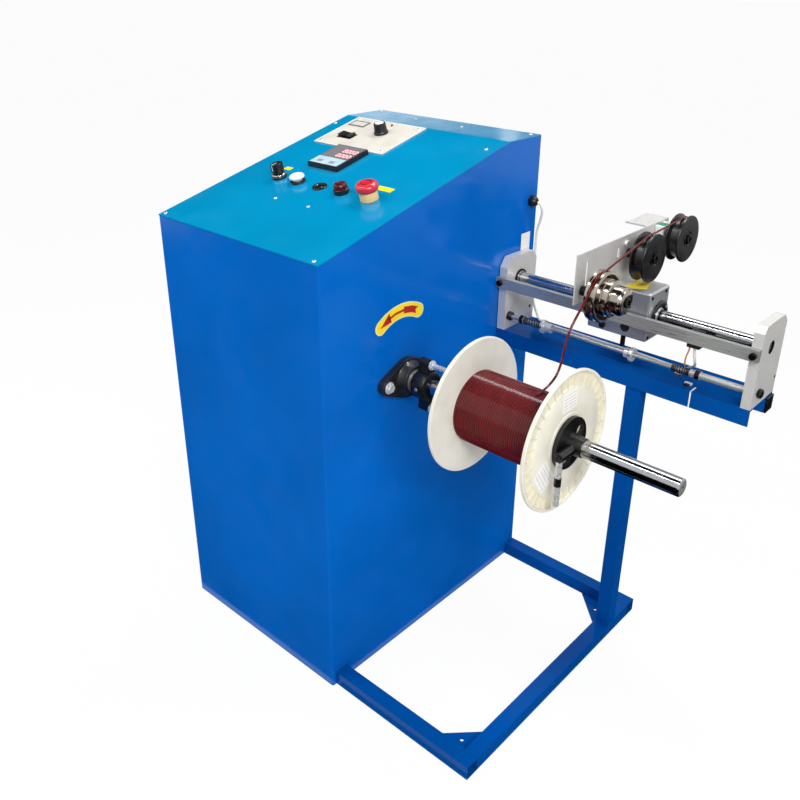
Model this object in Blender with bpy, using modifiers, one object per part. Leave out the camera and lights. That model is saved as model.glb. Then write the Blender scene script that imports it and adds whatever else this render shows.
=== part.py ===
"""Wire winding machine: cabinet with a sloped panel, a spool on a driven spindle and a wire traverse."""

import math

import bmesh
import bpy
from mathutils import Vector

# Running and seating gap between pieces that touch
GAP = 0.0003
# Room for the straight steps of a cord or coil round a drum
STEP_ROOM = 0.0009

# Cabinet: x runs out of its spindle side, y back from its front face, z up from the floor
CABINET_WIDTH = 0.450
CABINET_DEPTH = 0.620
CABINET_HEIGHT = 1.030
FRONT_HEIGHT = 0.900
SLOPE_DEPTH = 0.510
SHEET = 0.002
CORNER_RADIUS = 0.004
RIM_FLANGE = 0.018
DOOR_MARGIN = 0.012
SHAFT_ROOM = 0.004
DOOR_THICKNESS = 0.002
LATCH_RADIUS = 0.012
LATCH_HEIGHT = 0.016

# Base frame of square tube
TUBE = 0.030
TUBE_WALL = 0.0015
FRAME_REACH = 0.340
FRAME_FRONT_Y = 0.010
FRAME_BACK_Y = 0.620
GUSSET_LEG = 0.085
GUSSET_THICKNESS = 0.004
GUSSET_HOLE_RADIUS = 0.004
POST_Y = 0.504

# Traverse beam of bent sheet over a square tube
BEAM_LENGTH = 0.549
BEAM_TOP = 0.641
BEAM_SHEET = 0.003
BEAM_FRONT_Y = 0.500
BEAM_DEPTH = 0.105
BEAM_LEG = 0.032

# End plates of the traverse
PLATE_THICKNESS = 0.018
LEFT_PLATE_TOP = 0.797
LEFT_PLATE_RUN = 0.014
LEFT_PLATE_DROP = 0.020
RIGHT_PLATE_TOP = 0.797
RIGHT_PLATE_RUN = 0.010
RIGHT_PLATE_DROP = 0.012
PLATE_BACK_CHAMFER = 0.016
LEFT_PLATE_X = 0.002

# Traverse shaft and the guide bar in front of it
TRAVERSE_Y = 0.548
TRAVERSE_Z = 0.747
TRAVERSE_RADIUS = 0.0125
SHAFT_SEAT_DEPTH = 0.013
TRAVERSE_PULLEY_X = -0.060
TRAVERSE_PULLEY_RADIUS = 0.034
GUIDE_BAR_THICKNESS = 0.010
GUIDE_BAR_HEIGHT = 0.022

# Rolling-ring carriage on the shaft
CARRIAGE_X = 0.212
CARRIAGE_LENGTH = 0.124
CARRIAGE_FRONT_Y = 0.505
CARRIAGE_DEPTH = 0.077
CARRIAGE_LOW_Z = 0.705
CARRIAGE_HEIGHT = 0.095
CARRIAGE_EDGE = 0.003
COVER_RADIUS = 0.031
COVER_THICKNESS = 0.004
LEVER_X = 0.2865
LEVER_HUB_RADIUS = 0.009
LEVER_ARM_THICKNESS = 0.006
FINGER_WIDTH = 0.006
FINGER_DEPTH = 0.009

# Trip rod with its springs and stop collars
ROD_Y = 0.515
ROD_Z = 0.670
ROD_RADIUS = 0.004
ROD_THICK_RADIUS = 0.0065
ROD_THICK_X = 0.446
ROD_COLLAR_RADIUS = 0.0085
STOP_COLLAR_RADIUS = 0.014
STOP_HUB_RADIUS = 0.0095
STOP_FLANGE = 0.007
LEFT_STOP_X = 0.105
LEFT_STOP_LENGTH = 0.023
RIGHT_STOP_X = 0.295
RIGHT_STOP_LENGTH = 0.018
LEFT_SPRING_X = 0.060
LEFT_SPRING_LENGTH = 0.045
RIGHT_SPRING_X = 0.391
RIGHT_SPRING_LENGTH = 0.036
COLLAR_LENGTH = 0.010
SPRING_RADIUS = 0.0066
SPRING_WIRE = 0.0009
SPRING_CURLS = 6
CURL_POINTS = 8

# Bracket on the carriage that carries the guide wheel and the rollers
BRACKET_X = 0.259
BRACKET_SHEET = 0.003
BRACKET_FRONT_Y = 0.361
BRACKET_BACK_Y = 0.698
BRACKET_ARM_LOW_Z = 0.843
BRACKET_TOP_Z = 0.892
BRACKET_STEP_Y = 0.56
HOOK_WIDTH = 0.046
HOOK_FRONT_Y = 0.612
BRACKET_FOOT_WIDTH = 0.022
BRACKET_FOOT_FRONT_Y = 0.512
BRACKET_FOOT_BACK_Y = 0.556
BRACKET_SLOT_WIDTH = 0.008
FRONT_SLOT_Y = 0.3925
FRONT_SLOT_LOW_Z = 0.828
FRONT_SLOT_TOP_Z = 0.873
REAR_SLOT_Y = 0.501
REAR_SLOT_LOW_Z = 0.856

# Guide wheel and rollers
WHEEL_Y = 0.383
WHEEL_Z = 0.823
WHEEL_RADIUS = 0.046
WHEEL_GROOVE_X = 0.302
WHEEL_GROOVE_RADIUS = 0.039
WHEEL_STEP_RADIUS = 0.0295
WHEEL_HUB_RADIUS = 0.022
WHEEL_HUB_END_X = 0.351
WHEEL_EDGE = 0.010
WHEEL_LIP = 0.005
WHEEL_STEP_END = 0.027
AXLE_RADIUS = 0.005
AXLE_HEAD_RADIUS = 0.010
AXLE_HEAD_HEIGHT = 0.004
AXLE_NUT = 0.007
AXLE_TAIL = 0.012
SPACER_RADIUS = 0.009
ROLLER_RADIUS = 0.0457
ROLLER_DRUM_RADIUS = 0.038
ROLLER_X = 0.2885
ROLLER_WIDTH = 0.0277
ROLLER_FLANGE = 0.007
ROLLER_FLANGE_SLOPE = 0.003
FRONT_ROLLER_Y = 0.541
FRONT_ROLLER_Z = 0.856
REAR_ROLLER_Y = 0.677
REAR_ROLLER_Z = 0.8635

# Spindle, its bearings and what it drives
SPINDLE_Y = 0.209
SPINDLE_Z = 0.6305
SPINDLE_RADIUS = 0.015
SPINDLE_END_X = 0.565
SPINDLE_INNER_X = -0.235
SPINDLE_CHAMFER = 0.002
BEARING_HALF_WIDTH = 0.074
BEARING_HALF_HEIGHT = 0.040
BEARING_FLANGE = 0.014
BEARING_BOSS_RADIUS = 0.034
BEARING_DEPTH = 0.031
BEARING_BOLT_SPACING = 0.114
BEARING_BOLT_RADIUS = 0.010
BEARING_BOLT_HEIGHT = 0.009
STAND_X = -0.215
STAND_WIDTH = 0.060
STAND_BEARING_WIDTH = 0.030
STAND_BEARING_HALF = 0.045
DRIVE_HUB_X = 0.040
DRIVE_HUB_LENGTH = 0.030
DRIVE_HUB_RADIUS = 0.029
DRIVE_PIN_RADIUS = 0.0048
DRIVE_PIN_REACH = 0.044
DRIVE_ARM_HALF = 0.006
DRIVE_ARM_END = 0.010
DRIVE_ARM_INSET = 0.002

# Spool and its winding
SPOOL_RADIUS = 0.1255
SPOOL_X = 0.166
SPOOL_LENGTH = 0.196
SPOOL_FLANGE = 0.007
SPOOL_RIM = 0.004
SPOOL_BORE_RADIUS = 0.0165
SPOOL_BARREL_RADIUS = 0.050
WINDING_RADIUS = 0.067
WINDING_TURNS = 22
WINDING_LOOP_POINTS = 20
WINDING_WIRE = 0.0069

# Clamp that holds the spool on the spindle
CLAMP_RIM_RADIUS = 0.046
CLAMP_RIM_WEB = 0.005
CLAMP_HUB_RADIUS = 0.018
CLAMP_RIM_LENGTH = 0.008
CLAMP_LENGTH = 0.034
CLAMP_WINDOW_ANGLES = (math.radians(30), math.radians(255))
LEVER_ROD_RADIUS = 0.0056
LEVER_ROD_LENGTH = 0.092
LEVER_OFFSET = 0.044
LEVER_BAND = 0.016
CLAMP_EAR_SINK = 0.006
LEVER_EYE_RADIUS = 0.009

# Motor and belts inside the cabinet
MOTOR_Y = 0.335
MOTOR_Z = 0.130
MOTOR_RADIUS = 0.070
MOTOR_X = -0.400
MOTOR_LENGTH = 0.260
MOTOR_SHAFT_RADIUS = 0.0095
MOTOR_PULLEY_RADIUS = 0.035
DRIVE_PULLEY_X = -0.110
SPINDLE_PULLEY_RADIUS = 0.060
SPINDLE_SMALL_PULLEY_RADIUS = 0.034
PULLEY_WIDTH = 0.024
BELT_WIDTH = 0.015
BELT_THICKNESS = 0.003
BELT_STEPS = 8

# Control plate, counter and the row of controls, in x and in distance up the slope
PLATE_X = -0.309
PLATE_V = 0.451
PLATE_LENGTH = 0.200
PLATE_DEPTH = 0.140
CONTROL_PLATE_THICKNESS = 0.002
COUNTER_X = -0.2805
COUNTER_V = 0.328
COUNTER_WIDTH = 0.083
COUNTER_DEPTH = 0.092
COUNTER_HEIGHT = 0.011
COUNTER_BODY_INSET = 0.006
COUNTER_BODY_DEPTH = 0.060
KNOB_X = -0.288
KNOB_V = 0.465
KNOB_RADIUS = 0.0155
KNOB_TOP_RADIUS = 0.0125
KNOB_HEIGHT = 0.023
KNOB_STEM_RADIUS = 0.005
ROCKER_X = -0.354
ROCKER_V = 0.428
ROCKER_WIDTH = 0.036
ROCKER_DEPTH = 0.026
ROCKER_HEIGHT = 0.006
ROCKER_SLOT_INSET = 0.003
ROCKER_WING = 0.004
ROCKER_EDGE = 0.0018
CONTROL_V = 0.219
SELECTOR_X = -0.340
BUTTON_X = -0.285
PLUG_X = -0.223
LAMP_X = -0.163
ESTOP_X = -0.091
BEZEL_RADIUS = 0.0150
BEZEL_HEIGHT = 0.005
BARREL_RADIUS = 0.0110
BARREL_LENGTH = 0.030
CAP_RADIUS = 0.0115
BUTTON_HEIGHT = 0.017
BUTTON_TRAVEL = 0.003
BUTTON_DOME = 0.005
LAMP_HEIGHT = 0.020
PLUG_HEIGHT = 0.003
SELECTOR_HEIGHT = 0.030
SELECTOR_DISC_HEIGHT = 0.010
SELECTOR_GRIP_HALF = 0.004
ESTOP_BASE_RADIUS = 0.0165
ESTOP_BASE_HEIGHT = 0.017
ESTOP_HEAD_RADIUS = 0.0215
ESTOP_HEAD_HEIGHT = 0.012
ESTOP_TRAVEL = 0.004
ESTOP_STEM_RADIUS = 0.009

# Cable gland, wire and leads
GLAND_Y = 0.598
GLAND_DROP = 0.133
GLAND_RADIUS = 0.012
GLAND_NECK_RADIUS = 0.0075
GLAND_LENGTH = 0.016
CABLE_DIAMETER = 0.005
WIRE_DIAMETER = 0.0045
LEAD_DIAMETER = 0.003
SENSOR_X = 0.418
SENSOR_LENGTH = 0.024
SENSOR_DEPTH = 0.022
SENSOR_HEIGHT = 0.030
SENSOR_LOW_Z = 0.724
SENSOR_EDGE = 0.001

ROUND_STEPS = 20
SMALL_STEPS = 12

# Places that follow from the sizes above
MID_X = (SPINDLE_END_X - CABINET_WIDTH) / 2
MID_Y = (REAR_ROLLER_Y + ROLLER_RADIUS) / 2
SLOPE_ANGLE = math.atan2(CABINET_HEIGHT - FRONT_HEIGHT, SLOPE_DEPTH)
RIGHT_PLATE_X = BEAM_LENGTH - PLATE_THICKNESS
GUIDE_BAR_BACK_Y = BEAM_FRONT_Y - GAP
SHAFT_END_X = RIGHT_PLATE_X + SHAFT_SEAT_DEPTH
RIGHT_SLEEVE_X = RIGHT_SPRING_X + RIGHT_SPRING_LENGTH
CLAMP_X = SPOOL_X + SPOOL_LENGTH + GAP
LEVER_PIVOT_X = CLAMP_RIM_LENGTH + LEVER_EYE_RADIUS + GAP * 3
WINDING_START_X = SPOOL_X + SPOOL_FLANGE + GAP
WINDING_END_X = SPOOL_X + SPOOL_LENGTH - SPOOL_FLANGE - GAP
CONTROL_TOP = CONTROL_PLATE_THICKNESS + GAP
GLAND_Z = CABINET_HEIGHT - GLAND_DROP

ALONG_X = (0, math.pi / 2, 0)
SIDE_VIEW = (math.pi / 2, 0, math.pi / 2)


def bore_radius(radius, steps):
    """Corner radius of a bore of so many flat sides that clears a round piece by the gap."""
    return (radius + GAP) / math.cos(math.pi / steps)


def clear_scene():
    for old in list(bpy.data.objects):
        bpy.data.objects.remove(old)


def collection(name):
    group = bpy.data.collections.new(name)
    bpy.context.scene.collection.children.link(group)
    return group


clear_scene()
PARTS = collection("wire_winding_machine")
CUTTERS = collection("cutters")


def empty(name, place, turn=(0, 0, 0), parent=None):
    frame = bpy.data.objects.new(name, None)
    frame.location = place
    frame.rotation_euler = turn
    frame.parent = parent
    PARTS.objects.link(frame)
    return frame


DATUM = empty("machine_datum", (-MID_X, -MID_Y, 0))
SLOPE = empty("slope_datum", (0, 0, FRONT_HEIGHT), (SLOPE_ANGLE, 0, 0), DATUM)


def material(name, colour, roughness, metallic=0.0):
    look = bpy.data.materials.new(name)
    look.use_nodes = True
    shader = look.node_tree.nodes["Principled BSDF"]
    shader.inputs["Base Color"].default_value = (*colour, 1.0)
    shader.inputs["Roughness"].default_value = roughness
    shader.inputs["Metallic"].default_value = metallic
    look.diffuse_color = (*colour, 1.0)
    return look


BLUE = material("blue_paint", (0.0, 0.17, 0.55), 0.25)
ALUMINIUM = material("aluminium", (0.72, 0.73, 0.74), 0.35, 1.0)
STEEL = material("ground_steel", (0.55, 0.56, 0.58), 0.22, 1.0)
DARK_STEEL = material("dark_steel", (0.16, 0.16, 0.17), 0.4, 0.8)
BLACK_PLASTIC = material("black_plastic", (0.015, 0.015, 0.016), 0.4)
RUBBER = material("black_rubber", (0.02, 0.02, 0.02), 0.8)
CREAM = material("cream_plastic", (0.82, 0.78, 0.66), 0.45)
WHITE = material("white_plastic", (0.85, 0.85, 0.83), 0.35)
RED = material("red_plastic", (0.6, 0.02, 0.03), 0.3)
DARK_RED = material("dark_red_lens", (0.2, 0.01, 0.02), 0.2)
WIRE_RED = material("wire_red", (0.3, 0.02, 0.03), 0.45)
CAST = material("cast_iron", (0.03, 0.03, 0.035), 0.5, 0.3)
ORANGE = material("orange_lead", (0.8, 0.25, 0.03), 0.5)


def place(name, mesh, look, location, turn=(0, 0, 0), parent=DATUM):
    piece = bpy.data.objects.new(name, mesh)
    piece.location = location
    piece.rotation_euler = turn
    piece.parent = parent
    mesh.materials.clear()
    mesh.materials.append(look)
    PARTS.objects.link(piece)
    return piece


def smooth(mesh):
    mesh.shade_smooth()
    mesh.set_sharp_from_angle(angle=math.radians(35))


def box(name, look, low, high, origin=None, bevel=0.0, parent=DATUM):
    """A box between two corners, with its origin at its middle or at a given point."""
    low = Vector(low)
    high = Vector(high)
    middle = (low + high) / 2
    origin = middle if origin is None else Vector(origin)
    shape = bmesh.new()
    bmesh.ops.create_cube(shape, size=1.0)
    bmesh.ops.scale(shape, vec=high - low, verts=shape.verts)
    bmesh.ops.translate(shape, vec=middle - origin, verts=shape.verts)
    mesh = bpy.data.meshes.new(name)
    shape.to_mesh(mesh)
    shape.free()
    piece = place(name, mesh, look, origin, parent=parent)
    if bevel:
        edge = piece.modifiers.new("rounded edges", "BEVEL")
        edge.width = bevel
        edge.segments = 2
    return piece


def cylinder(name, look, radius, start, end, steps=ROUND_STEPS, parent=DATUM, end_radius=None):
    """A cylinder or cone between two points, with its origin at the first."""
    start = Vector(start)
    span = Vector(end) - start
    shape = bmesh.new()
    last = radius if end_radius is None else end_radius
    bmesh.ops.create_cone(shape, cap_ends=True, segments=steps, radius1=radius, radius2=last,
                          depth=span.length)
    bmesh.ops.translate(shape, vec=(0, 0, span.length / 2), verts=shape.verts)
    mesh = bpy.data.meshes.new(name)
    shape.to_mesh(mesh)
    shape.free()
    smooth(mesh)
    piece = place(name, mesh, look, start, parent=parent)
    piece.rotation_euler = span.to_track_quat("Z", "Y").to_euler()
    return piece


def turned(name, look, profile, location, turn=ALONG_X, steps=ROUND_STEPS, parent=DATUM):
    """A turned piece: radius and height points, down the outer side first, about local Z."""
    on_axis = profile[0][0] == 0
    points = [(radius, 0, height) for radius, height in profile]
    edges = [(i, i + 1) for i in range(len(points) - 1)]
    if not on_axis:
        edges.append((len(points) - 1, 0))
    mesh = bpy.data.meshes.new(name)
    mesh.from_pydata(points, edges, [])
    piece = place(name, mesh, look, location, turn, parent)
    screw = piece.modifiers.new("turning", "SCREW")
    screw.axis = "Z"
    screw.steps = steps
    screw.render_steps = steps
    screw.use_merge_vertices = True
    screw.merge_threshold = 0.00001
    screw.use_smooth_shade = True
    return piece


def outline(name, look, points, thickness, location, turn=SIDE_VIEW, parent=DATUM):
    """A flat plate: an outline in local X and Y, half its thickness to each side of its origin."""
    curve = bpy.data.curves.new(name, "CURVE")
    curve.dimensions = "2D"
    curve.fill_mode = "BOTH"
    curve.extrude = thickness / 2
    line = curve.splines.new("POLY")
    line.points.add(len(points) - 1)
    for point, (x, y) in zip(line.points, points):
        point.co = (x, y, 0, 1)
    line.use_cyclic_u = True
    return place(name, curve, look, location, turn, parent)


def tube(name, look, points, diameter, resolution=2):
    """A round cord through the points, closed at both ends."""
    curve = bpy.data.curves.new(name, "CURVE")
    curve.dimensions = "3D"
    curve.bevel_depth = diameter / 2
    curve.bevel_resolution = resolution
    curve.use_fill_caps = True
    line = curve.splines.new("POLY")
    line.points.add(len(points) - 1)
    for point, co in zip(line.points, points):
        point.co = (*co, 1)
    return place(name, curve, look, (0, 0, 0))


def as_mesh(piece):
    """The same piece with a mesh in place of its curve, its caps welded on."""
    bpy.context.view_layer.update()
    evaluated = piece.evaluated_get(bpy.context.evaluated_depsgraph_get())
    mesh = bpy.data.meshes.new_from_object(evaluated)
    shape = bmesh.new()
    shape.from_mesh(mesh)
    bmesh.ops.remove_doubles(shape, verts=shape.verts, dist=0.000001)
    shape.to_mesh(mesh)
    shape.free()
    name = piece.name
    look = piece.data.materials[0]
    location = piece.location.copy()
    turn = piece.rotation_euler.copy()
    parent = piece.parent
    bpy.data.objects.remove(piece)
    return place(name, mesh, look, location, turn, parent)


def combine(piece, tool, operation):
    """Cuts a piece with a tool or joins the tool to it; the tool is a guide from then on."""
    if tool.name not in CUTTERS.objects:
        for group in tool.users_collection:
            group.objects.unlink(tool)
        CUTTERS.objects.link(tool)
        tool.hide_render = True
        tool.display_type = "WIRE"
    step = piece.modifiers.new(tool.name, "BOOLEAN")
    step.operation = operation
    step.object = tool
    step.solver = "EXACT"
    return piece


def cut(piece, *tools):
    for tool in tools:
        combine(piece, tool, "DIFFERENCE")
    return piece


def join(piece, *tools):
    for tool in tools:
        combine(piece, tool, "UNION")
    return piece


def arc(centre, radius, start, end, steps):
    """Points of an arc in a plane, angles in radians."""
    turns = [start + (end - start) * i / steps for i in range(steps + 1)]
    return [(centre[0] + radius * math.cos(a), centre[1] + radius * math.sin(a)) for a in turns]


# Cabinet

def plan_outline(inset):
    """The cabinet seen from above, its two front corners rounded."""
    radius = max(CORNER_RADIUS - inset, 0.001)
    left = -CABINET_WIDTH + inset
    right = -inset
    front = inset
    back = CABINET_DEPTH - inset
    front_right = arc((right - radius, front + radius), radius, -math.pi / 2, 0, 3)
    front_left = arc((left + radius, front + radius), radius, -math.pi, -math.pi / 2, 3)
    return front_left + front_right + [(right, back), (left, back)]


def upright_block(name, inset, low):
    """A solid of the cabinet's plan, from a height up to past its top."""
    top = CABINET_HEIGHT * 1.1
    block = outline(name, BLUE, plan_outline(inset), top - low, (0, 0, (top + low) / 2), (0, 0, 0))
    return as_mesh(block)


def top_wedge(name, drop):
    """Everything above the cabinet's top faces, lowered by a drop square to them."""
    reach = CABINET_DEPTH
    rise = math.tan(SLOPE_ANGLE)
    knee_y = SLOPE_DEPTH + drop * math.tan(SLOPE_ANGLE / 2)
    front_z = FRONT_HEIGHT - drop / math.cos(SLOPE_ANGLE)
    points = [(-reach, front_z - reach * rise), (knee_y, CABINET_HEIGHT - drop),
              (CABINET_DEPTH + reach, CABINET_HEIGHT - drop), (CABINET_DEPTH + reach, 2.0), (-reach, 2.0)]
    wedge = outline(name, BLUE, points, CABINET_WIDTH * 2, (-CABINET_WIDTH / 2, 0, 0))
    return as_mesh(wedge)


def cabinet_shell():
    """Bent sheet body with flanged openings on top and behind."""
    skin = SHEET + GAP
    inner = upright_block("inside_cutter", SHEET, SHEET)
    cut(inner, top_wedge("inside_top_cutter", skin + SHEET))
    shell = upright_block("cabinet_shell", 0, 0)
    cut(shell, top_wedge("top_cutter", skin), inner)
    left = -CABINET_WIDTH + RIM_FLANGE
    slope_hole = box("slope_opening_cutter", BLUE, (left, RIM_FLANGE, FRONT_HEIGHT * 0.8),
                     (-RIM_FLANGE, SLOPE_DEPTH - RIM_FLANGE, CABINET_HEIGHT * 1.1))
    strip_hole = box("strip_opening_cutter", BLUE, (left, SLOPE_DEPTH + RIM_FLANGE, CABINET_HEIGHT * 0.9),
                     (-RIM_FLANGE, CABINET_DEPTH - RIM_FLANGE, CABINET_HEIGHT * 1.1))
    door_hole = box("door_opening_cutter", BLUE, (left, CABINET_DEPTH - RIM_FLANGE / 2, RIM_FLANGE * 2),
                    (-RIM_FLANGE, CABINET_DEPTH * 1.1, CABINET_HEIGHT - RIM_FLANGE * 2))
    spindle_hole = cylinder("spindle_hole_cutter", BLUE, SPINDLE_RADIUS + SHAFT_ROOM,
                            (-SHEET * 3, SPINDLE_Y, SPINDLE_Z), (SHEET * 3, SPINDLE_Y,
                                                                 SPINDLE_Z), SMALL_STEPS)
    traverse_hole = cylinder("traverse_hole_cutter", BLUE, TRAVERSE_RADIUS + SHAFT_ROOM,
                             (-SHEET * 3, TRAVERSE_Y, TRAVERSE_Z), (SHEET * 3, TRAVERSE_Y, TRAVERSE_Z),
                             SMALL_STEPS)
    gland_hole = cylinder("gland_hole_cutter", BLUE, bore_radius(GLAND_NECK_RADIUS, SMALL_STEPS),
                          (-SHEET * 3, GLAND_Y, GLAND_Z), (SHEET * 3, GLAND_Y, GLAND_Z), SMALL_STEPS)
    return cut(shell, slope_hole, strip_hole, door_hole, spindle_hole, traverse_hole, gland_hole)


def on_slope(x, v, height):
    """A point given in x, up the slope and off it, for pieces whose parent is the slope."""
    return (x, v, height)


def sloped_panel():
    """Lid sheet on the slope, with holes for the controls."""
    length = SLOPE_DEPTH / math.cos(SLOPE_ANGLE) - GAP
    panel = box("sloped_panel", BLUE, on_slope(-CABINET_WIDTH, 0, -SHEET), on_slope(0, length, 0),
                parent=SLOPE)
    holes = []
    for name, x in (("selector", SELECTOR_X), ("button", BUTTON_X), ("plug", PLUG_X), ("lamp", LAMP_X),
                    ("stop", ESTOP_X)):
        holes.append(cylinder(name + "_hole_cutter", BLUE, bore_radius(BARREL_RADIUS, SMALL_STEPS),
                              on_slope(x, CONTROL_V, -SHEET * 3),
                              on_slope(x, CONTROL_V, SHEET * 3), SMALL_STEPS, SLOPE))
    half_x = PLATE_LENGTH / 2 - RIM_FLANGE
    half_v = PLATE_DEPTH / 2 - RIM_FLANGE
    holes.append(box("plate_hole_cutter", BLUE, on_slope(PLATE_X - half_x, PLATE_V - half_v, -SHEET * 3),
                     on_slope(PLATE_X + half_x, PLATE_V + half_v, SHEET * 3), parent=SLOPE))
    half_x = COUNTER_WIDTH / 2 - COUNTER_BODY_INSET + GAP
    half_v = COUNTER_DEPTH / 2 - COUNTER_BODY_INSET + GAP
    holes.append(box("counter_hole_cutter", BLUE, on_slope(COUNTER_X - half_x, COUNTER_V - half_v,
                                                           -SHEET * 3),
                     on_slope(COUNTER_X + half_x, COUNTER_V + half_v, SHEET * 3), parent=SLOPE))
    return cut(panel, *holes)


def rear_top_strip():
    return box("rear_top_strip", BLUE, (-CABINET_WIDTH, SLOPE_DEPTH + GAP, CABINET_HEIGHT - SHEET),
               (0, CABINET_DEPTH, CABINET_HEIGHT))


def rear_door():
    """Sheet door on the back, hung at its left edge, with a round latch."""
    back = CABINET_DEPTH + GAP + DOOR_THICKNESS
    left = -CABINET_WIDTH + DOOR_MARGIN
    door = box("rear_door", BLUE, (left, CABINET_DEPTH + GAP, DOOR_MARGIN),
               (-DOOR_MARGIN, back, CABINET_HEIGHT - DOOR_MARGIN), origin=(left, back, CABINET_HEIGHT / 2))
    latch = cylinder("latch_boss", BLUE, LATCH_RADIUS, (-DOOR_MARGIN * 3, back - DOOR_THICKNESS / 2,
                                                        CABINET_HEIGHT / 2),
                     (-DOOR_MARGIN * 3, back + LATCH_HEIGHT, CABINET_HEIGHT / 2), SMALL_STEPS)
    return join(door, latch)


# Base frame

def square_tube(name, low, high, along):
    """A square tube between two corners, open at both ends."""
    piece = box(name, BLUE, low, high)
    inner_low = Vector(low) + Vector((TUBE_WALL, TUBE_WALL, TUBE_WALL))
    inner_high = Vector(high) - Vector((TUBE_WALL, TUBE_WALL, TUBE_WALL))
    inner_low[along] = low[along] - TUBE
    inner_high[along] = high[along] + TUBE
    return cut(piece, box(name + "_bore_cutter", BLUE, inner_low, inner_high))


def gusset(name, corner_y, turn):
    """Floor plate in a corner of the frame, with its bolt hole."""
    inner_x = FRAME_REACH - TUBE
    wall = TUBE_WALL / 2
    points = [(inner_x + wall, corner_y), (inner_x - GUSSET_LEG, corner_y),
              (inner_x + wall, corner_y + turn * GUSSET_LEG)]
    plate = as_mesh(outline(name, BLUE, points, GUSSET_THICKNESS, (0, 0, GUSSET_THICKNESS / 2), (0, 0, 0)))
    hole_x = inner_x - GUSSET_LEG * 0.36
    hole_y = corner_y + turn * GUSSET_LEG * 0.36
    hole = cylinder(name + "_hole_cutter", BLUE, GUSSET_HOLE_RADIUS, (hole_x, hole_y, -GUSSET_THICKNESS),
                    (hole_x, hole_y, GUSSET_THICKNESS * 2), 12)
    return cut(plate, hole)


def base_frame():
    front = FRAME_FRONT_Y
    back = FRAME_BACK_Y - TUBE
    square_tube("front_tube", (GAP, front, 0), (FRAME_REACH, front + TUBE, TUBE), 0)
    square_tube("back_tube", (GAP, back, 0), (FRAME_REACH, back + TUBE, TUBE), 0)
    inner_x = FRAME_REACH - TUBE
    cross = square_tube("cross_tube", (inner_x, front + TUBE + GAP, 0), (FRAME_REACH, back - GAP, TUBE), 1)
    join(cross, gusset("front_gusset", front + TUBE + GAP, 1), gusset("rear_gusset", back - GAP, -1))
    square_tube("frame_post", (inner_x, POST_Y, TUBE + GAP),
                (FRAME_REACH, POST_Y + TUBE, BEAM_TOP - BEAM_SHEET - GAP), 2)


# Traverse beam, end plates, shaft and guide bar

def traverse_beam():
    """Angle of bent sheet: a flat top with a front leg."""
    back = BEAM_FRONT_Y + BEAM_DEPTH
    low = BEAM_TOP - BEAM_LEG
    points = [(BEAM_FRONT_Y, low), (BEAM_FRONT_Y + BEAM_SHEET, low),
              (BEAM_FRONT_Y + BEAM_SHEET, BEAM_TOP - BEAM_SHEET),
              (back, BEAM_TOP - BEAM_SHEET), (back, BEAM_TOP), (BEAM_FRONT_Y, BEAM_TOP)]
    return outline("traverse_beam", BLUE, points, BEAM_LENGTH - GAP, ((BEAM_LENGTH + GAP) / 2, 0, 0))


def beam_tube():
    back = BEAM_FRONT_Y + BEAM_DEPTH
    top = BEAM_TOP - BEAM_SHEET - GAP
    return square_tube("beam_tube", (GAP, back - TUBE, top - TUBE), (BEAM_LENGTH, back, top), 0)


def end_plate(name, x, top, run, drop):
    """Thick plate with both top corners cut off, bored for the shaft and the trip rod."""
    low = BEAM_TOP + GAP
    front = BEAM_FRONT_Y
    back = BEAM_FRONT_Y + BEAM_DEPTH
    cut_off = PLATE_BACK_CHAMFER
    points = [(front, low), (back, low), (back, top - cut_off), (back - cut_off, top), (front + run, top),
              (front, top - drop)]
    plate = as_mesh(outline(name, ALUMINIUM, points, PLATE_THICKNESS, (x + PLATE_THICKNESS / 2, 0, 0)))
    shaft_hole = cylinder(name + "_shaft_cutter", ALUMINIUM, bore_radius(TRAVERSE_RADIUS, ROUND_STEPS),
                          (x - PLATE_THICKNESS, TRAVERSE_Y, TRAVERSE_Z),
                          (x + PLATE_THICKNESS * 2, TRAVERSE_Y, TRAVERSE_Z))
    return cut(plate, shaft_hole)


def end_plates():
    left = end_plate("left_end_plate", LEFT_PLATE_X, LEFT_PLATE_TOP, LEFT_PLATE_RUN, LEFT_PLATE_DROP)
    right = end_plate("right_end_plate", RIGHT_PLATE_X, RIGHT_PLATE_TOP, RIGHT_PLATE_RUN, RIGHT_PLATE_DROP)
    for plate, x in ((left, LEFT_PLATE_X), (right, RIGHT_PLATE_X)):
        hole = cylinder(plate.name + "_rod_cutter", ALUMINIUM, bore_radius(ROD_THICK_RADIUS, SMALL_STEPS),
                        (x - PLATE_THICKNESS, ROD_Y, ROD_Z), (x + PLATE_THICKNESS * 2, ROD_Y,
                                                              ROD_Z), SMALL_STEPS)
        cut(plate, hole)


def guide_bar():
    half = GUIDE_BAR_HEIGHT / 2
    return box("guide_bar", STEEL, (GAP, GUIDE_BAR_BACK_Y - GUIDE_BAR_THICKNESS, TRAVERSE_Z - half),
               (BEAM_LENGTH, GUIDE_BAR_BACK_Y, TRAVERSE_Z + half))


def traverse_shaft():
    """Round shaft with its belt pulley at the end inside the cabinet."""
    start = TRAVERSE_PULLEY_X - PULLEY_WIDTH / 2
    length = SHAFT_END_X - start
    profile = [(0, length), (TRAVERSE_RADIUS, length), (TRAVERSE_RADIUS, PULLEY_WIDTH),
               (TRAVERSE_PULLEY_RADIUS, PULLEY_WIDTH), (TRAVERSE_PULLEY_RADIUS, 0), (0, 0)]
    return turned("traverse_shaft", STEEL, profile, (start, TRAVERSE_Y, TRAVERSE_Z))


# Carriage

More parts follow.
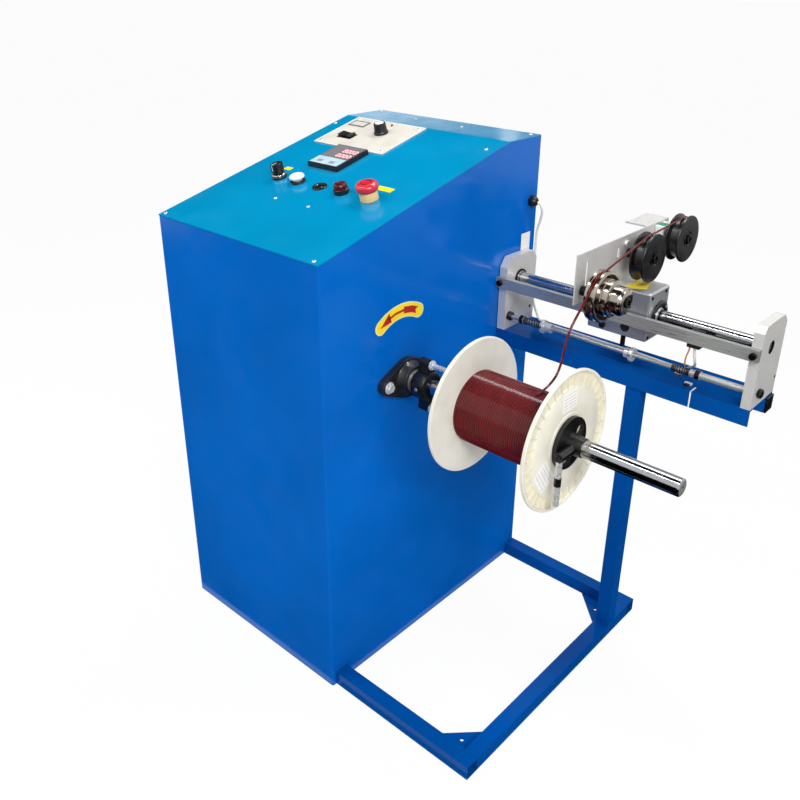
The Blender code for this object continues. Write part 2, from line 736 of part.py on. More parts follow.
def carriage_body():
    """Rolling-ring housing bored for the shaft, with slightly rounded edges."""
    low = (CARRIAGE_X, CARRIAGE_FRONT_Y, CARRIAGE_LOW_Z)
    high = (CARRIAGE_X + CARRIAGE_LENGTH, CARRIAGE_FRONT_Y + CARRIAGE_DEPTH,
            CARRIAGE_LOW_Z + CARRIAGE_HEIGHT)
    body = box("carriage_body", ALUMINIUM, low, high, bevel=CARRIAGE_EDGE)
    bore = cylinder("carriage_bore_cutter", ALUMINIUM, bore_radius(TRAVERSE_RADIUS, ROUND_STEPS),
                    (low[0] - TUBE, TRAVERSE_Y, TRAVERSE_Z),
                    (high[0] + TUBE, TRAVERSE_Y, TRAVERSE_Z))
    return cut(body, bore)


def carriage_cover():
    start = CARRIAGE_X + CARRIAGE_LENGTH + GAP
    bore = bore_radius(TRAVERSE_RADIUS, ROUND_STEPS)
    half = COVER_THICKNESS / 2
    profile = [(bore, half), (COVER_RADIUS * 0.93, half), (COVER_RADIUS, 0), (COVER_RADIUS, -half),
               (bore, -half)]
    return turned("carriage_cover", BLACK_PLASTIC, profile, (start + half, TRAVERSE_Y, TRAVERSE_Z))


def reversing_lever():
    """Lever under the housing on an upright pivot, with a finger that the stop collars push over."""
    top = CARRIAGE_LOW_Z - GAP
    arm_low = top - LEVER_ARM_THICKNESS
    half = FINGER_WIDTH / 2
    finger_low = ROD_Z + (STOP_COLLAR_RADIUS + STOP_HUB_RADIUS) / 2
    hub = cylinder("reversing_lever", DARK_STEEL, LEVER_HUB_RADIUS, (LEVER_X, TRAVERSE_Y, arm_low),
                   (LEVER_X, TRAVERSE_Y, top), SMALL_STEPS)
    arm = box("lever_arm", DARK_STEEL, (LEVER_X - half, ROD_Y, arm_low + GAP),
              (LEVER_X + half, TRAVERSE_Y, top - GAP))
    finger = box("lever_finger", DARK_STEEL, (LEVER_X - half, ROD_Y - FINGER_DEPTH / 2, finger_low),
                 (LEVER_X + half, ROD_Y + FINGER_DEPTH / 2, top - GAP))
    return join(hub, arm, finger)


# Trip rod

def trip_rod():
    """Thin rod with its fixed collars and its thicker right end, turned as one."""
    step = COLLAR_LENGTH
    left_collar = LEFT_SPRING_X - GAP
    right_collar = ROD_THICK_X
    points = [(ROD_THICK_RADIUS, RIGHT_PLATE_X + PLATE_THICKNESS / 2), (ROD_THICK_RADIUS, right_collar),
              (ROD_COLLAR_RADIUS, right_collar), (ROD_COLLAR_RADIUS, RIGHT_SLEEVE_X + GAP),
              (ROD_RADIUS, RIGHT_SLEEVE_X + GAP), (ROD_RADIUS, left_collar),
              (ROD_COLLAR_RADIUS, left_collar), (ROD_COLLAR_RADIUS, left_collar - step),
              (ROD_RADIUS, left_collar - step), (ROD_RADIUS, LEFT_PLATE_X + PLATE_THICKNESS / 2)]
    profile = [(0, points[0][1])] + points + [(0, points[-1][1])]
    return turned("trip_rod", STEEL, profile, (0, ROD_Y, ROD_Z), steps=SMALL_STEPS)


def stop_collar(name, start, length, flange_first):
    """Clamp collar on the rod: a flange and a slimmer hub."""
    bore = bore_radius(ROD_RADIUS, SMALL_STEPS)
    half = length / 2
    if flange_first:
        profile = [(bore, half), (STOP_HUB_RADIUS, half), (STOP_HUB_RADIUS, STOP_FLANGE - half),
                   (STOP_COLLAR_RADIUS, STOP_FLANGE - half), (STOP_COLLAR_RADIUS, -half), (bore, -half)]
    else:
        profile = [(bore, half), (STOP_COLLAR_RADIUS, half), (STOP_COLLAR_RADIUS, half - STOP_FLANGE),
                   (STOP_HUB_RADIUS, half - STOP_FLANGE), (STOP_HUB_RADIUS, -half), (bore, -half)]
    return turned(name, STEEL, profile, (start + half, ROD_Y, ROD_Z), steps=SMALL_STEPS)


def helix(start, end, radius, turns, points_per_turn, axis_y, axis_z):
    """Points of a coil about an axis along X."""
    count = turns * points_per_turn
    result = []
    for i in range(count + 1):
        angle = 2 * math.pi * i / points_per_turn
        x = start + (end - start) * i / count
        result.append(Vector((x, axis_y + radius * math.cos(angle), axis_z + radius * math.sin(angle))))
    return result


def least_self_gap(points, diameter, points_per_turn):
    """Least distance between a coil's turns, measured on its points, less its thickness."""
    least = None
    for i, first in enumerate(points):
        for second in points[i + points_per_turn // 2:]:
            space = (first - second).length - diameter
            least = space if least is None else min(least, space)
    return least


def spring(name, start, length):
    """Open coil spring on the rod, its ends run straight along the rod."""
    wire = SPRING_WIRE * 2
    first = start + wire
    last = start + length - wire
    coil = helix(first, last, SPRING_RADIUS, SPRING_CURLS, CURL_POINTS, ROD_Y, ROD_Z)
    print(name, "least gap", round(least_self_gap(coil, wire, CURL_POINTS) * 1000, 2), "mm")
    points = [coil[0] - Vector((wire - GAP, 0, 0))] + coil + [coil[-1] + Vector((wire - GAP, 0, 0))]
    return tube(name, DARK_STEEL, points, wire, 1)


# Bracket, guide wheel and rollers

def wire_bracket():
    """Bent sheet on the carriage: an upright web with an arm, a hook plate on top and a foot below."""
    box_top = CARRIAGE_LOW_Z + CARRIAGE_HEIGHT + GAP
    bend = BRACKET_ARM_LOW_Z - box_top
    inner_curve = arc((BRACKET_STEP_Y + bend, box_top), bend, math.pi, math.pi / 2, 5)
    web = [(BRACKET_FRONT_Y, box_top)] + inner_curve + [(BRACKET_BACK_Y, BRACKET_ARM_LOW_Z),
                                                        (BRACKET_BACK_Y, BRACKET_TOP_Z), (BRACKET_FRONT_Y,
                                                                                          BRACKET_TOP_Z)]
    bracket = as_mesh(outline("wire_bracket", ALUMINIUM, web, BRACKET_SHEET,
                              (BRACKET_X + BRACKET_SHEET / 2, 0, 0)))
    hook = box("hook_plate", ALUMINIUM,
               (BRACKET_X - HOOK_WIDTH, HOOK_FRONT_Y, BRACKET_TOP_Z - BRACKET_SHEET),
               (BRACKET_X + BRACKET_SHEET / 2, BRACKET_BACK_Y, BRACKET_TOP_Z))
    foot = box("bracket_foot", ALUMINIUM, (BRACKET_X + BRACKET_SHEET / 2, BRACKET_FOOT_FRONT_Y, box_top),
               (BRACKET_X + BRACKET_FOOT_WIDTH, BRACKET_FOOT_BACK_Y, box_top + BRACKET_SHEET))
    holes = []
    axle_bore = bore_radius(AXLE_RADIUS, SMALL_STEPS)
    for name, y, z in (("wheel", WHEEL_Y, WHEEL_Z), ("front_roller", FRONT_ROLLER_Y, FRONT_ROLLER_Z),
                       ("rear_roller", REAR_ROLLER_Y, REAR_ROLLER_Z)):
        holes.append(cylinder(name + "_bracket_cutter", ALUMINIUM, axle_bore,
                              (BRACKET_X - BRACKET_SHEET, y, z),
                              (BRACKET_X + BRACKET_SHEET * 2, y, z), SMALL_STEPS))
    for name, y, low, high in (("front", FRONT_SLOT_Y, FRONT_SLOT_LOW_Z, FRONT_SLOT_TOP_Z),
                               ("rear", REAR_SLOT_Y, REAR_SLOT_LOW_Z, FRONT_SLOT_TOP_Z)):
        holes.append(box(name + "_slot_cutter", ALUMINIUM, (BRACKET_X - BRACKET_SHEET, y, low),
                         (BRACKET_X + BRACKET_SHEET * 2, y + BRACKET_SLOT_WIDTH, high)))
    join(bracket, hook, foot)
    return cut(bracket, *holes)


def axle(name, y, z, piece_start, piece_end):
    """Shoulder bolt through the bracket: a head outside, a spacer, a shank and a nut behind."""
    head = piece_end + GAP
    web = BRACKET_X + BRACKET_SHEET + GAP
    nut = BRACKET_X - GAP
    shank = AXLE_RADIUS
    top = head + AXLE_HEAD_HEIGHT
    profile = [(0, top), (AXLE_HEAD_RADIUS, top), (AXLE_HEAD_RADIUS, head), (shank, head),
               (shank, piece_start - GAP), (SPACER_RADIUS, piece_start - GAP), (SPACER_RADIUS,
                                                                                web), (shank, web),
               (shank, nut), (SPACER_RADIUS, nut), (SPACER_RADIUS, nut - AXLE_NUT), (shank, nut - AXLE_NUT),
               (shank, nut - AXLE_TAIL), (0, nut - AXLE_TAIL)]
    return turned(name, DARK_STEEL, profile, (0, y, z), steps=SMALL_STEPS)


def guide_wheel():
    """Grooved steel wheel with a stepped ring and a hub."""
    bore = bore_radius(AXLE_RADIUS, SMALL_STEPS)
    groove = WHEEL_GROOVE_X
    edge = WHEEL_EDGE
    lip = WHEEL_LIP
    step_end = groove + WHEEL_STEP_END
    hub_end = WHEEL_HUB_END_X
    points = [(bore, hub_end), (WHEEL_HUB_RADIUS, hub_end), (WHEEL_HUB_RADIUS, step_end),
              (WHEEL_STEP_RADIUS, step_end),
              (WHEEL_STEP_RADIUS, groove + edge), (WHEEL_RADIUS, groove + edge), (WHEEL_RADIUS,
                                                                                  groove + lip),
              (WHEEL_GROOVE_RADIUS, groove + lip * 0.5), (WHEEL_GROOVE_RADIUS, groove - lip * 0.5),
              (WHEEL_RADIUS, groove - lip), (WHEEL_RADIUS, groove - edge), (bore, groove - edge)]
    profile = [(radius, x - groove) for radius, x in points]
    turned("guide_wheel", STEEL, profile, (groove, WHEEL_Y, WHEEL_Z), steps=24)
    return axle("wheel_axle", WHEEL_Y, WHEEL_Z, groove - edge, hub_end)


def roller(name, y, z):
    """Black flanged roller on its axle."""
    bore = bore_radius(AXLE_RADIUS, SMALL_STEPS)
    half = ROLLER_WIDTH / 2
    inner = half - ROLLER_FLANGE
    slope = ROLLER_FLANGE_SLOPE
    profile = [(bore, half), (ROLLER_RADIUS, half), (ROLLER_RADIUS, inner + slope),
               (ROLLER_DRUM_RADIUS, inner),
               (ROLLER_DRUM_RADIUS, -inner), (ROLLER_RADIUS, -inner - slope), (ROLLER_RADIUS,
                                                                               -half), (bore, -half)]
    turned(name, BLACK_PLASTIC, profile, (ROLLER_X + half, y, z), steps=ROUND_STEPS)
    return axle(name + "_axle", y, z, ROLLER_X, ROLLER_X + ROLLER_WIDTH)


# Spindle

def spindle_shaft():
    """Polished spindle with its double belt pulley inside the cabinet."""
    small = TRAVERSE_PULLEY_X
    large = DRIVE_PULLEY_X
    half = PULLEY_WIDTH / 2
    end = SPINDLE_END_X
    shaft = SPINDLE_RADIUS
    points = [(shaft - SPINDLE_CHAMFER, end), (shaft, end - SPINDLE_CHAMFER), (shaft, small + half),
              (SPINDLE_SMALL_PULLEY_RADIUS, small + half), (SPINDLE_SMALL_PULLEY_RADIUS, small - half),
              (shaft, small - half), (shaft, large + half), (SPINDLE_PULLEY_RADIUS, large + half),
              (SPINDLE_PULLEY_RADIUS, large - half), (shaft, large - half), (shaft, SPINDLE_INNER_X)]
    profile = [(0, end)] + points + [(0, SPINDLE_INNER_X)]
    return turned("spindle_shaft", STEEL, profile, (0, SPINDLE_Y, SPINDLE_Z))


def flange_bearing():
    """Oval two-bolt bearing housing on the cabinet's side, with its bolt heads."""
    bore = bore_radius(SPINDLE_RADIUS, ROUND_STEPS)
    half_spacing = BEARING_BOLT_SPACING / 2
    ear = BEARING_HALF_WIDTH - half_spacing
    top = arc((SPINDLE_Y, SPINDLE_Z), BEARING_HALF_HEIGHT, math.radians(60), math.radians(120), 4)
    left = arc((SPINDLE_Y - half_spacing, SPINDLE_Z), ear, math.radians(115), math.radians(245), 5)
    bottom = arc((SPINDLE_Y, SPINDLE_Z), BEARING_HALF_HEIGHT, math.radians(240), math.radians(300), 4)
    right = arc((SPINDLE_Y + half_spacing, SPINDLE_Z), ear, math.radians(-65), math.radians(65), 5)
    flange = outline("flange_bearing", CAST, top + left + bottom + right, BEARING_FLANGE,
                     (GAP + BEARING_FLANGE / 2, 0, 0))
    housing = as_mesh(flange)
    boss = cylinder("bearing_boss", CAST, BEARING_BOSS_RADIUS, (BEARING_FLANGE / 2, SPINDLE_Y, SPINDLE_Z),
                    (BEARING_DEPTH, SPINDLE_Y, SPINDLE_Z), end_radius=BEARING_BOSS_RADIUS * 0.86)
    join(housing, boss)
    for side in (-1, 1):
        y = SPINDLE_Y + side * half_spacing
        bolt = cylinder("bearing_bolt", CAST, BEARING_BOLT_RADIUS, (BEARING_FLANGE / 2, y, SPINDLE_Z),
                        (BEARING_FLANGE + BEARING_BOLT_HEIGHT, y, SPINDLE_Z), 6)
        join(housing, bolt)
    hole = cylinder("bearing_bore_cutter", CAST, bore, (-TUBE, SPINDLE_Y, SPINDLE_Z),
                    (TUBE * 2, SPINDLE_Y, SPINDLE_Z))
    return cut(housing, hole)


def bearing_stand():
    """Upright inside the cabinet that carries the spindle's inner bearing."""
    half = STAND_BEARING_HALF
    low = SPINDLE_Z - half
    post = box("bearing_stand", BLUE, (STAND_X - STAND_WIDTH / 2, SPINDLE_Y - STAND_WIDTH / 2, SHEET + GAP),
               (STAND_X + STAND_WIDTH / 2, SPINDLE_Y + STAND_WIDTH / 2, low + GAP))
    wall = TUBE_WALL * 2
    hollow = box("stand_hollow_cutter", BLUE,
                 (STAND_X - STAND_WIDTH / 2 + wall, SPINDLE_Y - STAND_WIDTH / 2 + wall, -wall),
                 (STAND_X + STAND_WIDTH / 2 - wall, SPINDLE_Y + STAND_WIDTH / 2 - wall, low - wall))
    cut(post, hollow)
    block = box("stand_block", CAST, (STAND_X - STAND_BEARING_WIDTH / 2, SPINDLE_Y - half, low),
                (STAND_X + STAND_BEARING_WIDTH / 2, SPINDLE_Y + half, SPINDLE_Z + half))
    bore = cylinder("stand_bore_cutter", CAST, bore_radius(SPINDLE_RADIUS, ROUND_STEPS),
                    (STAND_X - STAND_WIDTH, SPINDLE_Y, SPINDLE_Z),
                    (STAND_X + STAND_WIDTH, SPINDLE_Y, SPINDLE_Z))
    return cut(join(post, block), bore)


def drive_hub():
    """Hub fixed on the spindle with two drive pins that reach into the spool's flange."""
    bore = bore_radius(SPINDLE_RADIUS, ROUND_STEPS)
    half = DRIVE_HUB_LENGTH / 2
    profile = [(bore, half), (DRIVE_HUB_RADIUS, half), (DRIVE_HUB_RADIUS, -half), (bore, -half)]
    middle = DRIVE_HUB_X + half
    hub = turned("drive_hub", BLACK_PLASTIC, profile, (middle, SPINDLE_Y, SPINDLE_Z))
    arm_reach = DRIVE_PIN_REACH + DRIVE_ARM_END
    arm = box("drive_arm", BLACK_PLASTIC, (DRIVE_HUB_X + half, SPINDLE_Y - DRIVE_ARM_HALF,
                                           SPINDLE_Z - arm_reach),
              (DRIVE_HUB_X + DRIVE_HUB_LENGTH - DRIVE_ARM_INSET, SPINDLE_Y + DRIVE_ARM_HALF,
               SPINDLE_Z + arm_reach))
    join(hub, arm)
    for side in (-1, 1):
        z = SPINDLE_Z + side * DRIVE_PIN_REACH
        pin = cylinder("drive_pin", STEEL, DRIVE_PIN_RADIUS, (DRIVE_HUB_X + half * 1.2, SPINDLE_Y, z),
                       (SPOOL_X + SPOOL_FLANGE, SPINDLE_Y, z), SMALL_STEPS)
        join(hub, pin)
    bore_cutter = cylinder("hub_bore_cutter", BLACK_PLASTIC, bore, (0, SPINDLE_Y, SPINDLE_Z),
                           (DRIVE_HUB_X * 4, SPINDLE_Y, SPINDLE_Z))
    return cut(hub, bore_cutter)


def spool():
    """Plastic spool: two thin flanges with raised rims, a barrel and a bored hub."""
    start = SPOOL_X
    end = SPOOL_X + SPOOL_LENGTH
    bore = SPOOL_BORE_RADIUS
    rim = SPOOL_RADIUS
    rim_inner = SPOOL_RADIUS - SPOOL_RIM
    web = SPOOL_FLANGE / 2
    inner = SPOOL_FLANGE
    barrel = SPOOL_BARREL_RADIUS
    points = [(bore, end - web), (rim_inner, end - web), (rim_inner, end), (rim, end), (rim, end - inner),
              (barrel, end - inner),
              (barrel, start + inner), (rim, start + inner), (rim, start), (rim_inner, start), (rim_inner,
                                                                                                start + web),
              (bore, start + web)]
    middle = (start + end) / 2
    body = turned("spool", CREAM, [(radius, x - middle) for radius, x in points],
                  (middle, SPINDLE_Y, SPINDLE_Z), steps=24)
    for side in (-1, 1):
        z = SPINDLE_Z + side * DRIVE_PIN_REACH
        cut(body, cylinder("spool_pin_cutter", CREAM, DRIVE_PIN_RADIUS + GAP, (start - TUBE, SPINDLE_Y, z),
                           (start + inner + GAP, SPINDLE_Y, z), SMALL_STEPS))
    return body


def winding_core():
    """Inner layers of the wound wire as one plain ring on the barrel."""
    core_radius = (WINDING_RADIUS - WINDING_WIRE) * math.cos(math.pi / WINDING_LOOP_POINTS) - GAP
    bore = bore_radius(SPOOL_BARREL_RADIUS, ROUND_STEPS)
    half = (WINDING_END_X - WINDING_START_X) / 2
    middle = (WINDING_END_X + WINDING_START_X) / 2
    profile = [(bore, half), (core_radius, half), (core_radius, -half), (bore, -half)]
    return turned("winding_core", WIRE_RED, profile, (middle, SPINDLE_Y, SPINDLE_Z))


def wire_winding():
    """Outer layer of the winding: one unbroken tube, its ends run straight to the spool's flanges."""
    run = WINDING_WIRE
    first = WINDING_START_X + run
    last = WINDING_END_X - run
    coil = helix(first, last, WINDING_RADIUS - WINDING_WIRE / 2, WINDING_TURNS, WINDING_LOOP_POINTS,
                 SPINDLE_Y, SPINDLE_Z)
    print("winding least gap", round(least_self_gap(coil, WINDING_WIRE, WINDING_LOOP_POINTS) * 1000, 2),
          "mm")
    points = [coil[0] - Vector((run, 0, 0))] + coil + [coil[-1] + Vector((run, 0, 0))]
    return tube("wire_winding", WIRE_RED, points, WINDING_WIRE, 1)


def clamp_hub():
    """Clamp hub: a windowed rim against the spool and a hub on the spindle."""
    bore = bore_radius(SPINDLE_RADIUS, ROUND_STEPS)
    rim = CLAMP_RIM_RADIUS
    end = CLAMP_LENGTH
    rim_end = CLAMP_RIM_LENGTH
    profile = [(bore, end), (CLAMP_HUB_RADIUS * 0.9, end), (CLAMP_HUB_RADIUS, rim_end), (rim, rim_end),
               (rim, 0), (bore, 0)]
    hub = turned("clamp_hub", BLACK_PLASTIC, profile, (CLAMP_X, SPINDLE_Y, SPINDLE_Z))
    middle_radius = (rim - CLAMP_RIM_WEB + CLAMP_HUB_RADIUS) / 2
    window_radius = (rim - CLAMP_RIM_WEB - CLAMP_HUB_RADIUS) / 2
    for angle in CLAMP_WINDOW_ANGLES:
        y = SPINDLE_Y + middle_radius * math.cos(angle)
        z = SPINDLE_Z + middle_radius * math.sin(angle)
        cut(hub, cylinder("clamp_window_cutter", BLACK_PLASTIC, window_radius, (CLAMP_X - TUBE, y, z),
                          (CLAMP_X + rim_end + GAP, y, z), SMALL_STEPS))
    ear_x = CLAMP_X + LEVER_PIVOT_X
    ear = cylinder("clamp_ear", BLACK_PLASTIC, LEVER_EYE_RADIUS,
                   (ear_x, SPINDLE_Y - LEVER_OFFSET, SPINDLE_Z),
                   (ear_x, SPINDLE_Y - CLAMP_HUB_RADIUS + CLAMP_EAR_SINK, SPINDLE_Z), SMALL_STEPS)
    join(hub, ear)
    bore_cutter = cylinder("clamp_bore_cutter", BLACK_PLASTIC, bore, (CLAMP_X - TUBE, SPINDLE_Y, SPINDLE_Z),
                           (CLAMP_X + TUBE * 2, SPINDLE_Y, SPINDLE_Z))
    return cut(hub, bore_cutter)


def clamp_lever():
    """Hanging clamp handle: an eye at its pivot and a rod with a raised band."""
    x = CLAMP_X + LEVER_PIVOT_X
    y = SPINDLE_Y - LEVER_OFFSET - GAP
    radius = LEVER_ROD_RADIUS
    rod_y = y - radius
    low = SPINDLE_Z - LEVER_ROD_LENGTH
    middle = (SPINDLE_Z + low) / 2
    eye = cylinder("clamp_lever", STEEL, LEVER_EYE_RADIUS, (x, y, SPINDLE_Z),
                   (x, y - radius * 2, SPINDLE_Z),
                   SMALL_STEPS)
    rod = cylinder("lever_rod", STEEL, radius - GAP, (x, rod_y, SPINDLE_Z), (x, rod_y, low), SMALL_STEPS)
    band = cylinder("lever_band", STEEL, radius + GAP, (x, rod_y, middle + LEVER_BAND / 2),
                    (x, rod_y, middle - LEVER_BAND / 2), SMALL_STEPS)
    return join(eye, rod, band)


# Drive inside the cabinet

def motor():
    """Geared motor on the cabinet floor: a round body with a foot and an output shaft."""
    end = MOTOR_X + MOTOR_LENGTH
    body = cylinder("motor", DARK_STEEL, MOTOR_RADIUS, (MOTOR_X, MOTOR_Y, MOTOR_Z), (end, MOTOR_Y, MOTOR_Z))
    foot = box("motor_foot", DARK_STEEL, (MOTOR_X + TUBE, MOTOR_Y - MOTOR_RADIUS, SHEET + GAP),
               (end - TUBE, MOTOR_Y + MOTOR_RADIUS, MOTOR_Z - MOTOR_RADIUS / 2))
    return join(body, foot)


def motor_pulley():
    """Motor's output shaft with its belt pulley."""
    start = MOTOR_X + MOTOR_LENGTH + GAP
    half = PULLEY_WIDTH / 2
    low = start - DRIVE_PULLEY_X
    profile = [(0, half), (MOTOR_PULLEY_RADIUS, half), (MOTOR_PULLEY_RADIUS, -half),
               (MOTOR_SHAFT_RADIUS, -half),
               (MOTOR_SHAFT_RADIUS, low), (0, low)]
    return turned("motor_pulley", DARK_STEEL, profile, (DRIVE_PULLEY_X, MOTOR_Y, MOTOR_Z))


def belt_outline(first, first_radius, second, second_radius):
    """Outer tangent loop round two circles, as points in Y and Z."""
    span = Vector(second) - Vector(first)
    heading = math.atan2(span.y, span.x)
    lean = math.acos((first_radius - second_radius) / span.length)
    far = arc(second, second_radius, heading - lean, heading + lean, BELT_STEPS)
    near = arc(first, first_radius, heading + lean, heading + 2 * math.pi - lean, BELT_STEPS)
    return far + near


def belt(name, x, first, first_radius, second, second_radius):
    """Flat belt round two pulleys."""
    around = 2 * BELT_STEPS - 2
    first_inner = bore_radius(first_radius, around)
    second_inner = bore_radius(second_radius, around)
    inner = belt_outline(first, first_inner, second, second_inner)
    outer = belt_outline(first, first_inner + BELT_THICKNESS, second, second_inner + BELT_THICKNESS)
    loop = as_mesh(outline(name, RUBBER, outer, BELT_WIDTH, (x, 0, 0)))
    hollow = as_mesh(outline(name + "_cutter", RUBBER, inner, BELT_WIDTH * 2, (x, 0, 0)))
    return cut(loop, hollow)


def belts():
    spindle = (SPINDLE_Y, SPINDLE_Z)
    belt("drive_belt", DRIVE_PULLEY_X, (MOTOR_Y, MOTOR_Z), MOTOR_PULLEY_RADIUS, spindle,
         SPINDLE_PULLEY_RADIUS)
    belt("traverse_belt", TRAVERSE_PULLEY_X, spindle, SPINDLE_SMALL_PULLEY_RADIUS, (TRAVERSE_Y, TRAVERSE_Z),
         TRAVERSE_PULLEY_RADIUS)


# Controls on the slope

def control_plate():
    """Thin plate with round holes for the knob and a slot for the rocker."""
    half_x = PLATE_LENGTH / 2
    half_v = PLATE_DEPTH / 2
    plate = box("control_plate", CREAM, on_slope(PLATE_X - half_x, PLATE_V - half_v, GAP),
                on_slope(PLATE_X + half_x, PLATE_V + half_v, CONTROL_TOP), parent=SLOPE)
    shaft_hole = cylinder("knob_hole_cutter", CREAM, bore_radius(KNOB_STEM_RADIUS, SMALL_STEPS),
                          on_slope(KNOB_X, KNOB_V, -SHEET * 3),
                          on_slope(KNOB_X, KNOB_V, SHEET * 3), SMALL_STEPS, SLOPE)
    half_x = ROCKER_WIDTH / 2 - ROCKER_SLOT_INSET
    half_v = ROCKER_DEPTH / 2 - ROCKER_SLOT_INSET
    slot = box("rocker_hole_cutter", CREAM, on_slope(ROCKER_X - half_x, ROCKER_V - half_v, -SHEET * 3),
               on_slope(ROCKER_X + half_x, ROCKER_V + half_v, SHEET * 3), parent=SLOPE)
    return cut(plate, shaft_hole, slot)


def speed_knob():
    """Tapered knob on its spindle through the plate."""
    top = CONTROL_TOP + GAP + KNOB_HEIGHT
    low = CONTROL_TOP + GAP
    skirt = low + KNOB_HEIGHT * 0.15
    profile = [(0, top), (KNOB_TOP_RADIUS, top), (KNOB_RADIUS, skirt), (KNOB_RADIUS, low),
               (KNOB_STEM_RADIUS, low),
               (KNOB_STEM_RADIUS, -SHEET * 4), (0, -SHEET * 4)]
    return turned("speed_knob", BLACK_PLASTIC, profile, on_slope(KNOB_X, KNOB_V, 0), (0, 0, 0),
                  SMALL_STEPS, SLOPE)


def rocker_switch():
    """V-shaped rocker that tilts in the plate, lifted at its off side."""
    half = ROCKER_WIDTH / 2
    low = CONTROL_TOP + GAP
    top = low + ROCKER_HEIGHT
    inner = half - ROCKER_WING
    stem = inner - ROCKER_SLOT_INSET
    edge = low + ROCKER_EDGE
    seat = low + ROCKER_EDGE / 3
    points = [(-half, edge), (-inner, seat), (-stem, -SHEET * 2), (stem, -SHEET * 2), (inner, seat),
              (half, edge),
              (half, top), (0, low + ROCKER_HEIGHT / 3), (-half, top)]
    depth = ROCKER_DEPTH - ROCKER_WING * 2
    return outline("rocker_switch", BLACK_PLASTIC, points, depth, on_slope(ROCKER_X, ROCKER_V, 0),
                   (math.pi / 2, 0, 0), SLOPE)


def counter():
    """Panel counter: a raised case on the slope and its body through the panel."""
    half_x = COUNTER_WIDTH / 2
    half_v = COUNTER_DEPTH / 2
    case = box("counter", BLACK_PLASTIC, on_slope(COUNTER_X - half_x, COUNTER_V - half_v, GAP),
               on_slope(COUNTER_X + half_x, COUNTER_V + half_v, COUNTER_HEIGHT), parent=SLOPE)
    inset = COUNTER_BODY_INSET
    body = box("counter_body", BLACK_PLASTIC,
               on_slope(COUNTER_X - half_x + inset, COUNTER_V - half_v + inset, -COUNTER_BODY_DEPTH),
               on_slope(COUNTER_X + half_x - inset, COUNTER_V + half_v - inset,
                        COUNTER_HEIGHT / 2), parent=SLOPE)
    return join(case, body)


def bezel(name, look, x, height, inner, radius=BEZEL_RADIUS):
    """Round bezel on the slope with its barrel through the panel and a well for what it holds."""
    well = -SHEET
    profile = [(0, well), (inner, well), (inner, height), (radius * 0.93, height), (radius, height * 0.7),
               (radius, GAP),
               (BARREL_RADIUS, GAP), (BARREL_RADIUS, -BARREL_LENGTH), (0, -BARREL_LENGTH)]
    return turned(name, look, profile, on_slope(x, CONTROL_V, 0), (0, 0, 0), SMALL_STEPS, SLOPE)


def round_cap(name, look, x, low, height, radius, dome):
    """Cap with a domed or flat top, standing in its bezel's well."""
    top = low + height
    profile = [(0, top), (radius * 0.6, top - dome * 0.25), (radius * 0.88, top - dome * 0.6),
               (radius, top - dome), (radius, low),
               (0, low)]
    return turned(name, look, profile, on_slope(x, CONTROL_V, 0), (0, 0, 0), SMALL_STEPS, SLOPE)


def selector():
    bezel("selector_base", STEEL, SELECTOR_X, BEZEL_HEIGHT, BARREL_RADIUS * 0.5)
    low = BEZEL_HEIGHT + GAP
    stem = BARREL_RADIUS * 0.5 - GAP
    disc = low + SELECTOR_DISC_HEIGHT
    foot = -SHEET + GAP * 2
    half = SELECTOR_GRIP_HALF
    reach = CAP_RADIUS * 0.9
    profile = [(0, disc), (CAP_RADIUS, disc), (CAP_RADIUS, low), (stem, low), (stem, foot), (0, foot)]
    knob = turned("selector_knob", BLACK_PLASTIC, profile, on_slope(SELECTOR_X, CONTROL_V, 0), (0, 0, 0),
                  SMALL_STEPS, SLOPE)
    grip = box("selector_grip", BLACK_PLASTIC, on_slope(SELECTOR_X - half, CONTROL_V - reach,
                                                        (low + disc) / 2),
               on_slope(SELECTOR_X + half, CONTROL_V + reach, SELECTOR_HEIGHT), parent=SLOPE)
    return join(knob, grip)


def push_button():
    bezel("button_bezel", STEEL, BUTTON_X, BEZEL_HEIGHT, BARREL_RADIUS * 0.9)
    return round_cap("white_button", WHITE, BUTTON_X, BUTTON_TRAVEL, BUTTON_HEIGHT - BUTTON_TRAVEL,
                     BARREL_RADIUS * 0.9 - GAP, BUTTON_DOME)


def blank_plug():
    """Flat plug in an unused hole."""
    profile = [(0, PLUG_HEIGHT), (BEZEL_RADIUS * 0.92, PLUG_HEIGHT), (BEZEL_RADIUS, PLUG_HEIGHT * 0.6),
               (BEZEL_RADIUS, GAP),
               (BARREL_RADIUS, GAP), (BARREL_RADIUS, -BARREL_LENGTH / 2), (0, -BARREL_LENGTH / 2)]
    return turned("blank_plug", BLACK_PLASTIC, profile, on_slope(PLUG_X, CONTROL_V, 0), (0, 0, 0),
                  SMALL_STEPS, SLOPE)


def red_lamp():
    """Indicator lamp: bezel, barrel and domed lens in one sealed piece."""
    profile = [(0, LAMP_HEIGHT), (CAP_RADIUS * 0.6, LAMP_HEIGHT * 0.94), (CAP_RADIUS, LAMP_HEIGHT * 0.6),
               (CAP_RADIUS, BEZEL_HEIGHT), (BEZEL_RADIUS * 0.95, BEZEL_HEIGHT), (BEZEL_RADIUS,
                                                                                 BEZEL_HEIGHT * 0.6),
               (BEZEL_RADIUS, GAP), (BARREL_RADIUS, GAP), (BARREL_RADIUS, -BARREL_LENGTH), (0,
                                                                                            -BARREL_LENGTH)]
    return turned("red_lamp", DARK_RED, profile, on_slope(LAMP_X, CONTROL_V, 0), (0, 0, 0), SMALL_STEPS,
                  SLOPE)


